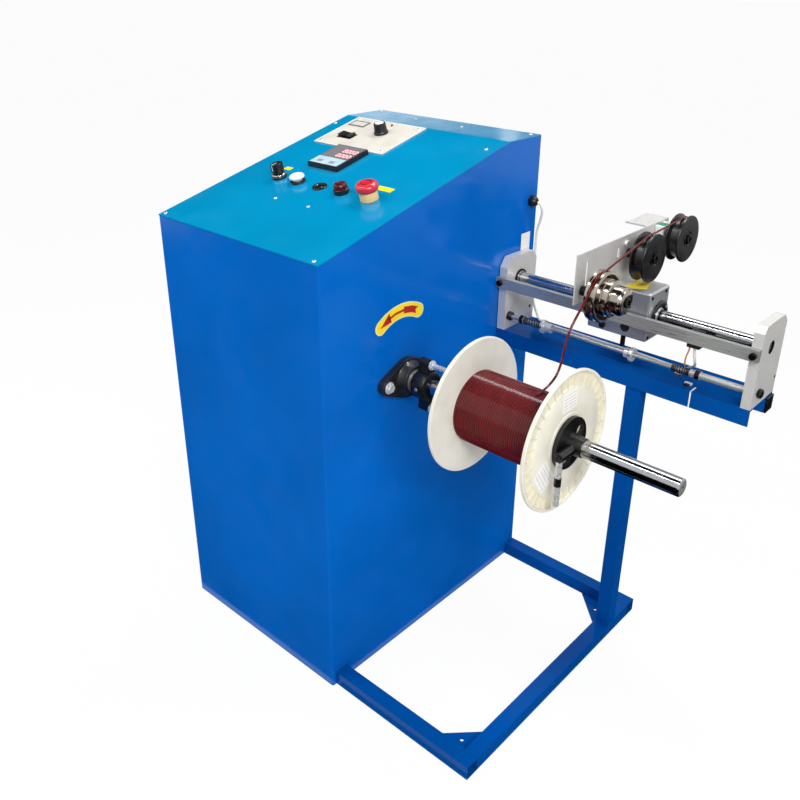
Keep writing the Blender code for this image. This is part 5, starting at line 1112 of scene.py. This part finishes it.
class WINDER_OT_spool(bpy.types.Operator):
    """Moulded spool with ribs round its rims and bare labels"""
    bl_idname = "winder.spool"
    bl_label = "Spool"

    def execute(self, context):
        low, high = extent("spool")
        rim = (high.z - low.z) / 2
        where = along_x("spool", (low.x + high.x) / 2)
        half = (high.x - low.x) / 2
        flange = 0.007
        bore = 0.0168
        face = 0.0014
        floor = 0.0045
        outer = [(bore, half), (0.05, half), (0.0515, half - 0.0005), (0.052, half - face), (0.0985, half - face),
                 (0.0995, half - face - 0.0006),
                 (0.1002, half - floor), (0.1188, half - floor), (0.1195, half - floor + 0.0008),
                 (0.12, half - 0.0008), (0.121, half),
                 (rim - 0.0012, half), (rim, half - 0.0012), (rim, half - flange + 0.0012),
                 (rim - 0.0012, half - flange),
                 (0.052, half - flange - 0.0005), (0.05, half - flange - 0.0025)]
        profile = outer + [(radius, -height) for radius, height in reversed(outer)]
        body = hoop(profile, where, 0, 128)
        middle = where.translation.x
        for polygon in body.faces:
            if polygon.calc_center_median().x > middle:
                polygon.material_index = 2
        shapes = [body]
        # One rib is built and turned round the flange
        count = 36
        for side in (1, -1):
            for i in range(count):
                turn = Matrix.Rotation(2 * math.pi * (i + 0.5) / count, 4, "Z")
                depth = (half - floor - 0.0005, half - face - 0.0002)
                rib = slab([(0.0998, -0.0011), (0.1194, -0.0007), (0.1194, 0.0007), (0.0998, 0.0011)],
                           min(side * depth[0], side * depth[1]), max(side * depth[0], side * depth[1]), where @ turn,
                           1)
                shapes.append(rib)
        make_piece("spool_moulding", shapes, ["off_white_abs", "off_white_abs_thin", "cream_white_abs"], "spindle",
                   ["spool"])

        labels = []
        for angle, centre, width, height in ((0.0, 0.076, 0.042, 0.036), (2.15, 0.074, 0.052, 0.04)):
            place = where @ Matrix.Rotation(angle, 4, "Z") @ Matrix.Translation((-centre, 0, half - face))
            labels.append(block((-height / 2, -width / 2, 0.0001), (height / 2, width / 2, 0.0003), place))
            for k in range(5):
                line = -height / 2 + height * (k + 1) / 6
                labels.append(block((line, -width * 0.42, 0.0003), (line + 0.0005, width * 0.42, 0.0004), place, 1))
        make_piece("spool_labels", labels, ["label_paper", "grey_print"], "spindle")
        return {"FINISHED"}


class WINDER_OT_winding(bpy.types.Operator):
    """Twin wire wound on the spool, red and dark strands side by side"""
    bl_idname = "winder.winding"
    bl_label = "Winding"

    def execute(self, context):
        low, high = extent("winding_core")
        y, z = axis_point("spool")
        turns = context.scene.winder_wire.turns
        span = high.x - low.x
        pitch = span / (turns + 0.5)
        strand = pitch / 4
        radius = WINDING_RADIUS - strand
        around = 48
        count = turns * around
        strands = []
        for look, offset in ((0, 0.0), (1, 2 * strand)):
            path = []
            for i in range(count + 1):
                angle = 2 * math.pi * i / around
                # Hand-laid wire wanders by a fraction of a millimetre from turn to turn
                wander = 0.00016 * math.sin(i * 0.37) + 0.00012 * math.sin(i * 0.113 + 1.0)
                sink = 0.00005 * math.sin(i * 0.071 + offset * 900)
                x = low.x + strand + offset + pitch * i / around + wander
                r = radius - 0.0002 + sink
                path.append(MACHINE @ Vector((x, y + r * math.cos(angle), z + r * math.sin(angle))))
            strands.append(sweep(path, round_section(strand * 1.02, 8), look, Vector((1, 0, 0))))
        core = hoop([(0.0503, high.x - 0.0001), (radius - strand * 0.2, high.x - 0.0001),
                     (radius - strand * 0.2, low.x + 0.0001), (0.0503, low.x + 0.0001)], along_x("spool"), 1, 96)
        make_piece("twin_wire_winding", strands + [core], ["red_wire_pvc", "dark_wire_pvc"], "spindle",
                   ["winding_core", "wire_winding"])
        return {"FINISHED"}


class WINDER_OT_clamp(bpy.types.Operator):
    """Three-armed clamp ring on the spindle and its hanging lever"""
    bl_idname = "winder.clamp"
    bl_label = "Clamp"

    def execute(self, context):
        low, high = extent("clamp_hub")
        y, z = axis_point("spindle_shaft")
        where = along_x("spindle_shaft", low.x)
        length = high.x - low.x
        r = SPINDLE_RADIUS
        rim = 0.046
        core = 0.018
        web = 0.005
        middle = (rim - web + core) / 2
        size = (rim - web - core) / 2
        # Local X is the machine's -Z here and local Y its Y
        windows = [circle(size, 40, (-middle * math.sin(a), middle * math.cos(a)))
                   for a in (math.radians(30), math.radians(255))]
        ring = pierced([circle(rim, 96), circle(r + 0.0006, 64)] + windows, 0.0002, 0.008, where, 0)
        hub = hoop([(r + 0.0004, length), (core * 0.86, length), (core * 0.93, length - 0.0015), (core, 0.014),
                    (core + 0.001, 0.0078), (r + 0.0004, 0.0078)], where, 0, 72)
        shapes = [ring, hub]
        lever_low, lever_high = extent("clamp_lever")
        px = lever_high.x - 0.009
        py = lever_high.y
        shapes.append(rod(0.0088, (px, py + 0.0004, z), (px, y - 0.0165, z), steps=40))
        make_piece("clamp_ring", shapes, ["black_abs"], "clamp", ["clamp_hub"], edge=0.0006)

        eye = rod(0.0088, (px, py, z), (px, py - 0.011, z), look=1, steps=40)
        stem = (lever_high.y + lever_low.y) / 2
        half_band = 0.008
        middle = (z + lever_low.z) / 2
        upper = rod(0.0054, (px, stem, z - 0.008), (px, stem, middle + half_band - 0.001), steps=40)
        band = rod(0.006, (px, stem, middle + half_band), (px, stem, middle - half_band), look=1, steps=40)
        tip = rod(0.0054, (px, stem, middle - half_band + 0.001), (px, stem, lever_low.z), steps=40)
        bolt = socket_screw(facing(px, py - 0.011, z, (0, -1, 0)), 0.0045, 0.002, 1, 1)
        make_piece("clamp_lever_handle", [upper, eye, band, tip] + bolt, ["zinc_plated_steel", "black_abs"], "handle",
                   ["clamp_lever"], edge=0.0004)
        return {"FINISHED"}


# Controls on the lid

def seven_segments(low, size, lit, where, look):
    """One digit of seven flat bars; lit names the bars that show."""
    w, h = size
    t = h * 0.13
    x, v = low
    bars = {"a": (x + t, v + h - t, x + w - t, v + h), "b": (x + w - t, v + h / 2 + t / 4, x + w, v + h - t / 2),
            "c": (x + w - t, v + t / 2, x + w, v + h / 2 - t / 4), "d": (x + t, v, x + w - t, v + t),
            "e": (x, v + t / 2, x + t, v + h / 2 - t / 4), "f": (x, v + h / 2 + t / 4, x + t, v + h - t / 2),
            "g": (x + t, v + h / 2 - t / 2, x + w - t, v + h / 2 + t / 2)}
    return [block((bars[k][0], bars[k][1], 0.0), (bars[k][2], bars[k][3], 0.0002), where, look) for k in lit]


class WINDER_OT_plate_controls(bpy.types.Operator):
    """Control plate with its knob, rocker, lamp and meter window, and the counter"""
    bl_idname = "winder.plate_controls"
    bl_label = "Control plate and counter"

    def execute(self, context):
        dress("cream_laminate", "control_plate")
        low, high = extent("control_plate", LID)
        top = high.z
        w = 0.0016
        edge = [block((low.x, low.y, top), (high.x, low.y + w, top + 0.0002), LID),
                block((low.x, high.y - w, top), (high.x, high.y, top + 0.0002), LID),
                block((low.x, low.y, top), (low.x + w, high.y, top + 0.0002), LID),
                block((high.x - w, low.y, top), (high.x, high.y, top + 0.0002), LID)]
        make_piece("control_plate_edge", edge, ["white_laminate_edge"])
        screws = []
        for x in (low.x + 0.012, high.x - 0.012):
            for v in (low.y + 0.011, high.y - 0.011):
                screws += pan_screw(on_lid(x, v, top), 0.0036, 0.0018, 0, 1)
        make_piece("control_plate_screws", screws, ["zinc_plated_steel", "black_oxide_steel"])
        window = [block((-0.398, 0.476, top), (-0.352, 0.502, top + 0.0012), LID, 1),
                  block((-0.394, 0.48, top + 0.0012), (-0.356, 0.498, top + 0.0014), LID)]
        make_piece("meter_window", window, ["cream_laminate", "smoked_window"], edge=0.0003)
        led = turned([(0, 0.004), (0.0015, 0.0036), (0.0024, 0.0022), (0.0026, 0), (0, 0)],
                     on_lid(-0.293, 0.505, top), 0, 20)
        make_piece("pilot_led", [led], ["red_led_epoxy"])

        k_low, k_high = extent("speed_knob", LID)
        x, v = (k_low.x + k_high.x) / 2, (k_low.y + k_high.y) / 2
        base = top + GAP
        height = k_high.z - base
        where = on_lid(x, v, base)
        wide = (k_high.x - k_low.x) / 2
        slim = wide * 0.8
        shapes = [turned([(0, height), (slim - 0.0012, height), (slim, height - 0.0012), (wide * 0.88, height * 0.3),
                          (wide * 0.96, height * 0.17), (wide, height * 0.13), (wide, 0), (0, 0)], where, 0, 60)]
        for i in range(20):
            turn = Matrix.Rotation(2 * math.pi * i / 20, 4, "Z")
            shapes.append(slab([(slim * 0.9, -0.0006), (slim + 0.0005, -0.0004), (slim + 0.0005, 0.0004),
                                (slim * 0.9, 0.0006)], height * 0.22, height - 0.0014, where @ turn))
        shapes.append(turned([(0, 0.0006), (slim * 0.72, 0.0004), (slim * 0.78, 0), (0, 0)], offset(where, height), 1,
                             40))
        make_piece("speed_knob_fluted", shapes, ["black_abs", "white_abs"], "knob", ["speed_knob"], edge=0.0003)
        marks = []
        for i in range(11):
            turn = where @ Matrix.Rotation(math.radians(225 - 27 * i), 4, "Z") @ Matrix.Translation((0, 0, -GAP))
            marks.append(block((0.0185, -0.0003, 0.0), (0.0215, 0.0003, 0.0001), turn))
        make_piece("knob_scale", marks, ["grey_print"])

        r_low, r_high = extent("rocker_switch", LID)
        x, v = (r_low.x + r_high.x) / 2, (r_low.y + r_high.y) / 2
        half = (r_high.x - r_low.x) / 2
        depth = (r_high.y - r_low.y) / 2
        rims = [[(-half - a, -depth - b), (half + a, -depth - b), (half + a, depth + b), (-half - a, depth + b)]
                for a, b in ((0.002, 0.003), (0.0006, 0.0006))]
        shapes = [pierced(rims, 0.0, 0.0012, on_lid(x, v, top), 0), slab(rims[1], 0.0, 0.0001, on_lid(x, v, top))]
        make_piece("rocker_bezel", shapes, ["black_abs"])
        turn = on_lid(x, v, top) @ Matrix.Rotation(math.pi / 2, 4, "X")
        wings = [(-half, 0.0024), (half, 0.0024), (half, 0.0072), (half - 0.0025, 0.007), (0.001, 0.0034),
                 (-0.001, 0.0034),
                 (-half + 0.0025, 0.0064), (-half, 0.0066)]
        make_piece("rocker_wings", [slab(wings, -depth, depth, turn)], ["black_abs"], "rocker", ["rocker_switch"],
                   edge=0.0006)

        c_low, c_high = extent("counter", LID)
        face = c_high.z
        skirt = 0.0022
        case = slab(rectangle(c_low, c_high), GAP, face - 0.0008, LID)
        inner = slab(rectangle(c_low, c_high, skirt), face - 0.001, face, LID)
        third = c_low.y + (c_high.y - c_low.y) * 0.36
        keys = block((c_low.x + 0.003, c_low.y + 0.003, face - 0.0002), (c_high.x - 0.003, third, face + 0.0002), LID,
                     1)
        pane = block((c_low.x + 0.003, third + 0.001, face - 0.0002),
                     (c_high.x - 0.003, c_high.y - 0.003, face + 0.0002), LID, 2)
        shapes = [case, inner, keys, pane]
        for kx in (0.2, 0.6):
            x0 = c_low.x + (c_high.x - c_low.x) * kx
            shapes.append(block((x0, c_low.y + 0.01, face + 0.0002), (x0 + 0.014, c_low.y + 0.019, face + 0.0007),
                                LID, 3))
        make_piece("counter_case", shapes, ["black_abs", "light_blue_membrane", "smoked_window", "grey_print"],
                   "machine", ["counter"], edge=0.0005)
        digits = []
        for v0, h in ((third + 0.007, 0.013), (third + 0.027, 0.014)):
            for i in range(4):
                x0 = c_high.x - 0.044 + i * 0.01
                where = offset(LID, face + 0.0002)
                digits += seven_segments((x0, v0), (0.0074, h), "abcdef", where, 0)
        make_piece("counter_digits", digits, ["lit_segments"])
        return {"FINISHED"}


class WINDER_OT_row_controls(bpy.types.Operator):
    """Selector, push button, blank plug, lamp and stop button"""
    bl_idname = "winder.row_controls"
    bl_label = "Row of controls"

    def execute(self, context):
        where = off_lid("selector_base")
        skirt = hoop([(0.006, 0.0002), (0.015, 0.0002), (0.0152, 0.003), (0.0145, 0.0042), (0.006, 0.0042)], where, 1)
        chrome = hoop([(0.006, 0.004), (0.014, 0.0042), (0.0142, 0.0065), (0.0136, 0.0085), (0.0126, 0.0092),
                       (0.006, 0.0092)], where)
        make_piece("selector_rings", [skirt, chrome], ["bright_chrome", "black_abs"], "machine", ["selector_base"])
        low, high = extent("selector_knob", LID)
        top = high.z
        cap = turned([(0, top), (0.0088, top), (0.0098, top - 0.0012), (0.0108, 0.015), (0.0118, 0.0125),
                      (0.0118, 0.0094), (0, 0.0094)], where)
        grip = slab([(-0.005, -0.0122), (0.005, -0.0122), (0.005, 0.0122), (-0.005, 0.0122)], 0.013, top - 0.0003,
                    where)
        line = block((-0.0009, -0.011, top), (0.0009, 0.001, top + 0.0002), where, 1)
        front = block((-0.0009, -0.0124, 0.017), (0.0009, -0.0118, top - 0.0006), where, 1)
        make_piece("selector_handle", [cap, grip, line, front], ["black_abs", "white_abs"], "selector",
                   ["selector_knob"], edge=0.0006)

        where = off_lid("button_bezel")
        ring = hoop([(0.0101, 0.0002), (0.015, 0.0002), (0.0152, 0.0028), (0.0142, 0.0042), (0.0101, 0.0048)], where)
        make_piece("button_ring", [ring], ["black_abs"], "machine", ["button_bezel"])
        low, high = extent("white_button", LID)
        top = high.z
        dome = [(0, top)] + [(0.015 * math.sin(a), top - 0.005 * (1 - math.cos(a))) for a in (0.3, 0.6, 0.9, 1.2,
                                                                                              1.5)]
        cap = turned(dome + [(0.0151, top - 0.0066), (0.0146, 0.0092), (0.0096, 0.0088), (0.0096, 0.0032),
                             (0, 0.0032)], where)
        make_piece("white_button_cap", [cap], ["white_abs"], "button", ["white_button"])

        where = off_lid("blank_plug")
        disc = turned([(0, 0.0022), (0.0105, 0.0022), (0.0112, 0.003), (0.0138, 0.003), (0.015, 0.0018),
                       (0.015, 0.0002), (0, 0.0002)], where)
        shapes = [disc]
        for dx, dv in ((0.0085, -0.002), (-0.0085, 0.002)):
            shapes += pan_screw(where @ Matrix.Translation((dx, dv, 0.0021)), 0.0016, 0.0008, 1, 0)
        make_piece("blank_plug_disc", shapes, ["black_abs", "zinc_plated_steel"], "machine", ["blank_plug"])

        where = off_lid("red_lamp")
        low, high = extent("red_lamp", LID)
        top = high.z
        ring = hoop([(0.011, 0.0002), (0.015, 0.0002), (0.0152, 0.004), (0.0148, 0.0085), (0.0138, 0.0092),
                     (0.011, 0.0092)], where)
        lens = turned([(0, top), (0.008, top - 0.0002), (0.0112, top - 0.0012), (0.0128, top - 0.0034),
                       (0.013, 0.0092), (0.013, 0.0003), (0, 0.0003)], where, 1)
        make_piece("red_lamp_lens", [ring, lens], ["black_abs", "dark_red_lens"], "machine", ["red_lamp"])

        where = off_lid("estop_base")
        low, high = extent("estop_base", LID)
        wall = [(0.01, 0.0002), (0.0172, 0.0002), (0.0175, 0.002), (0.0168, high.z - 0.002), (0.016, high.z),
                (0.01, high.z)]
        make_piece("stop_base_ring", [hoop(wall, where, 0, 72)], ["cream_abs"], "machine", ["estop_base"],
                   edge=0.0004)
        low, high = extent("estop_head", LID)
        top = high.z
        base = top - 0.0148
        wide = (high.x - low.x) / 2
        head = turned([(0, top - 0.0008), (wide * 0.35, top - 0.0006), (wide * 0.6, top), (wide * 0.8, top - 0.001),
                       (wide * 0.94, top - 0.0036), (wide, top - 0.0072), (wide * 0.98, base + 0.0022),
                       (wide * 0.94, base + 0.0006), (0.0184, base), (0.0181, base), (0.0181, base + 0.0065),
                       (0.0088, base + 0.0065), (0.0088, 0.0048), (0, 0.0048)], where, 0, 96)
        marks = []
        for i in range(2):
            turn = where @ Matrix.Rotation(0.5 + math.pi * i, 4, "Z") @ Matrix.Translation((0, 0, top - 0.0006))
            outline = arc((0, 0), 0.01, 0.1, 1.9, 10) + arc((0, 0), 0.0084, 1.9, 0.1, 10)
            marks.append(slab(outline, 0.0, 0.0007, turn, 1))
        make_piece("stop_button_head", [head] + marks, ["red_polycarbonate", "dark_red_lens"], "stop_button",
                   ["estop_head"])
        return {"FINISHED"}


class WINDER_OT_gland(bpy.types.Operator):
    """Cable gland with its hexagon body and dome nut"""
    bl_idname = "winder.gland"
    bl_label = "Cable gland"

    def execute(self, context):
        where = along_x("cable_gland")
        bore = CABLE_DIAMETER / 2 + 0.0004
        end = extent("cable_gland")[1].x
        base = hoop([(bore, 0.005), (0.012, 0.005), (0.012, 0.0004), (bore, 0.0004)], where, 0, 6)
        dome = hoop([(bore, end), (0.0062, end), (0.009, end - 0.002), (0.0108, end - 0.0055), (0.011, 0.005),
                     (bore, 0.005)], where, 0, 48)
        ribs = []
        for i in range(16):
            turn = Matrix.Rotation(2 * math.pi * i / 16, 4, "Z")
            ribs.append(slab([(0.01, -0.0008), (0.0114, -0.0006), (0.0114, 0.0006), (0.01, 0.0008)], 0.0052,
                             end - 0.006, where @ turn))
        make_piece("cable_gland_nut", [base, dome] + ribs, ["black_abs"], "machine", ["cable_gland"], edge=0.0004)
        return {"FINISHED"}


# Stage

CAMERA_PLACE = (0.9741, -0.8713, 1.3402)
CAMERA_ANGLES = (41.32, 24.645, 0.76)  # Turn, rise and roll in degrees
CAMERA_SHIFT = (-0.0176, -0.0555)
SOFT_LIGHT = 0.42  # Strength of the world for rays that only light the machine
FLOOR_GLOW = 0.94  # Share of the floor's own brightness where it is looked at


class WINDER_OT_stage(bpy.types.Operator):
    """Camera, lamps, world and floor"""
    bl_idname = "winder.stage"
    bl_label = "Stage"

    def add_card(self, scene, name, corner, across, upward):
        """A matt black studio card, hidden from the camera and from the soft light."""
        shape = bmesh.new()
        shape.faces.new([shape.verts.new(point) for point in
                         (corner, corner + across, corner + across + upward, corner + upward)])
        mesh = bpy.data.meshes.new(name)
        shape.to_mesh(mesh)
        shape.free()
        card = bpy.data.objects.new(name, mesh)
        scene.collection.objects.link(card)
        for flag in ("visible_camera", "visible_diffuse", "visible_shadow", "visible_transmission"):
            setattr(card, flag, False)
        look, _, shader, _ = start_finish(name + "_felt")
        set_shader(shader, base_color=(0.0, 0.0, 0.0), roughness=1.0, specular_ior_level=0.0)
        mesh.materials.append(look)

    def ray_share(self, tree, hidden, seen):
        """One value for the lamps' soft light and another for rays of the camera, mirrors and lenses."""
        path = add_node(tree, "LightPath")
        direct = add_node(tree, "Math", {"operation": "MAXIMUM"},
                          {0: path.outputs["Is Camera Ray"], 1: path.outputs["Is Glossy Ray"]})
        direct = add_node(tree, "Math", {"operation": "MAXIMUM"},
                          {0: direct.outputs[0], 1: path.outputs["Is Transmission Ray"]})
        share = add_node(tree, "MapRange", {"To Min": hidden, "To Max": seen}, {"Value": direct.outputs[0]})
        return share.outputs[0]

    def execute(self, context):
        scene = context.scene
        settings = scene.winder_stage
        camera = bpy.data.objects.new("camera", bpy.data.cameras.new("camera"))
        scene.collection.objects.link(camera)
        scene.camera = camera
        camera.data.lens = settings.lens
        camera.data.sensor_width = 36
        camera.data.shift_x, camera.data.shift_y = CAMERA_SHIFT
        camera.data.clip_start = 0.05
        camera.data.clip_end = 100
        camera.location = MACHINE @ Vector(CAMERA_PLACE)
        turn, rise, roll = (math.radians(angle) for angle in CAMERA_ANGLES)
        back = Vector((math.sin(turn) * math.cos(rise), -math.cos(turn) * math.cos(rise), math.sin(rise)))
        right = Vector((math.cos(turn), math.sin(turn), 0))
        up = back.cross(right)
        right_rolled = right * math.cos(roll) + up * math.sin(roll)
        up_rolled = back.cross(right_rolled)
        camera.rotation_mode = "QUATERNION"
        camera.rotation_quaternion = Matrix((right_rolled, up_rolled, back)).transposed().to_quaternion()

        scene.view_settings.view_transform = "Standard"
        world = bpy.data.worlds.new("studio")
        world.use_nodes = True
        scene.world = world
        tree = world.node_tree
        backdrop = tree.nodes["Background"]
        backdrop.inputs["Color"].default_value = (1, 1, 1, 1)
        tree.links.new(self.ray_share(tree, SOFT_LIGHT, 1.0), backdrop.inputs["Strength"])

        for name, place, target, size, power in (
                ("key_lamp", (2.1, -1.5, 2.5), (0.0, 0.0, 0.6), (1.5, 0.5), 62),
                ("fill_lamp", (-1.9, -1.9, 2.0), (0.0, 0.0, 0.6), (1.5, 1.5), 7),
                ("glint_lamp", (-0.97, -1.0, 2.55), (-0.97, -0.15, 0.6), (1.8, 0.06), 18),
                ("top_lamp", (0.1, 0.9, 3.0), (0.0, 0.0, 0.8), (2.2, 0.35), 34)):
            lamp = bpy.data.objects.new(name, bpy.data.lights.new(name, "AREA"))
            lamp.data.shape = "RECTANGLE"
            lamp.data.size, lamp.data.size_y = size
            lamp.data.energy = power
            lamp.location = place
            lamp.rotation_euler = (Vector(place) - Vector(target)).to_track_quat("Z", "Y").to_euler()
            scene.collection.objects.link(lamp)

        # Black cards that only mirrors see keep the lid deep blue and draw dark bands along the bars
        for name, corner, across, upward in (
                ("lid_card", (-2.0, -0.1, 1.5), (0, 2.9, 0), (0, 0, 1.8)),
                ("overhead_card", (-2.5, -1.65, 3.2), (5.0, 0, 0), (0, 2.1, 0)),
                ("front_card", (-3.2, -3.0, 0.003), (6.4, 0, 0), (0, 0, 1.0)),
                ("front_floor_card", (-3.2, -3.0, 0.003), (6.4, 0, 0), (0, 2.63, 0)),
                ("side_floor_card", (-0.05, -0.36, 0.003), (3.4, 0, 0), (0, 3.9, 0)),
                ("beam_card", (-2.7, 4.0, 1.7), (2.2, 0, 0), (0, 0, 1.6))):
            self.add_card(scene, name, Vector(corner), Vector(across), Vector(upward))

        shape = bmesh.new()
        bmesh.ops.create_circle(shape, cap_ends=True, segments=96, radius=45)
        mesh = bpy.data.meshes.new("floor")
        shape.to_mesh(mesh)
        shape.free()
        floor = bpy.data.objects.new("floor", mesh)
        scene.collection.objects.link(floor)
        look, tree, shader, _ = start_finish("pale_floor")
        set_shader(shader, base_color=tuple(settings.floor), roughness=0.6)
        glow = add_node(tree, "Emission", {"Color": (1, 1, 1, 1), "Strength": 1.0})
        both = add_node(tree, "MixShader", {},
                        {0: self.ray_share(tree, 0.0, FLOOR_GLOW), 1: shader.outputs[0], 2: glow.outputs[0]})
        tree.links.new(both.outputs[0], tree.nodes["Material Output"].inputs["Surface"])
        mesh.materials.append(look)
        return {"FINISHED"}


class WINDER_PT_panel(bpy.types.Panel):
    """Lists the machine's settings and pieces"""
    bl_label = "Wire Winding Machine"
    bl_idname = "WINDER_PT_panel"
    bl_space_type = "VIEW_3D"
    bl_region_type = "UI"
    bl_category = "Winder"

    def draw(self, context):
        layout = self.layout
        for group in ("winder_paint", "winder_wire", "winder_stage"):
            settings = getattr(context.scene, group)
            for name in settings.bl_rna.properties.keys():
                if name not in ("rna_type", "name"):
                    layout.prop(settings, name)
        for operator in OPERATORS:
            layout.operator(operator.bl_idname)


OPERATORS = (
    WINDER_OT_stage,
    WINDER_OT_wire,
    WINDER_OT_leads,
    WINDER_OT_body,
    WINDER_OT_side_labels,
    WINDER_OT_traverse,
    WINDER_OT_carriage,
    WINDER_OT_trip_rod,
    WINDER_OT_rollers,
    WINDER_OT_spindle,
    WINDER_OT_spool,
    WINDER_OT_winding,
    WINDER_OT_clamp,
    WINDER_OT_plate_controls,
    WINDER_OT_row_controls,
    WINDER_OT_gland,
)
SETTINGS = {"winder_paint": WinderPaint, "winder_wire": WinderWire, "winder_stage": WinderStage}


def register():
    for name, group in SETTINGS.items():
        bpy.utils.register_class(group)
        setattr(bpy.types.Scene, name, bpy.props.PointerProperty(type=group))
    for operator in OPERATORS:
        bpy.utils.register_class(operator)
    bpy.utils.register_class(WINDER_PT_panel)


def unregister():
    bpy.utils.unregister_class(WINDER_PT_panel)
    for operator in reversed(OPERATORS):
        bpy.utils.unregister_class(operator)
    for name, group in SETTINGS.items():
        delattr(bpy.types.Scene, name)
        bpy.utils.unregister_class(group)


def main():
    register()
    for operator in OPERATORS:
        family, action = operator.bl_idname.split(".")
        getattr(getattr(bpy.ops, family), action)()


if __name__ == "__main__":
    main()
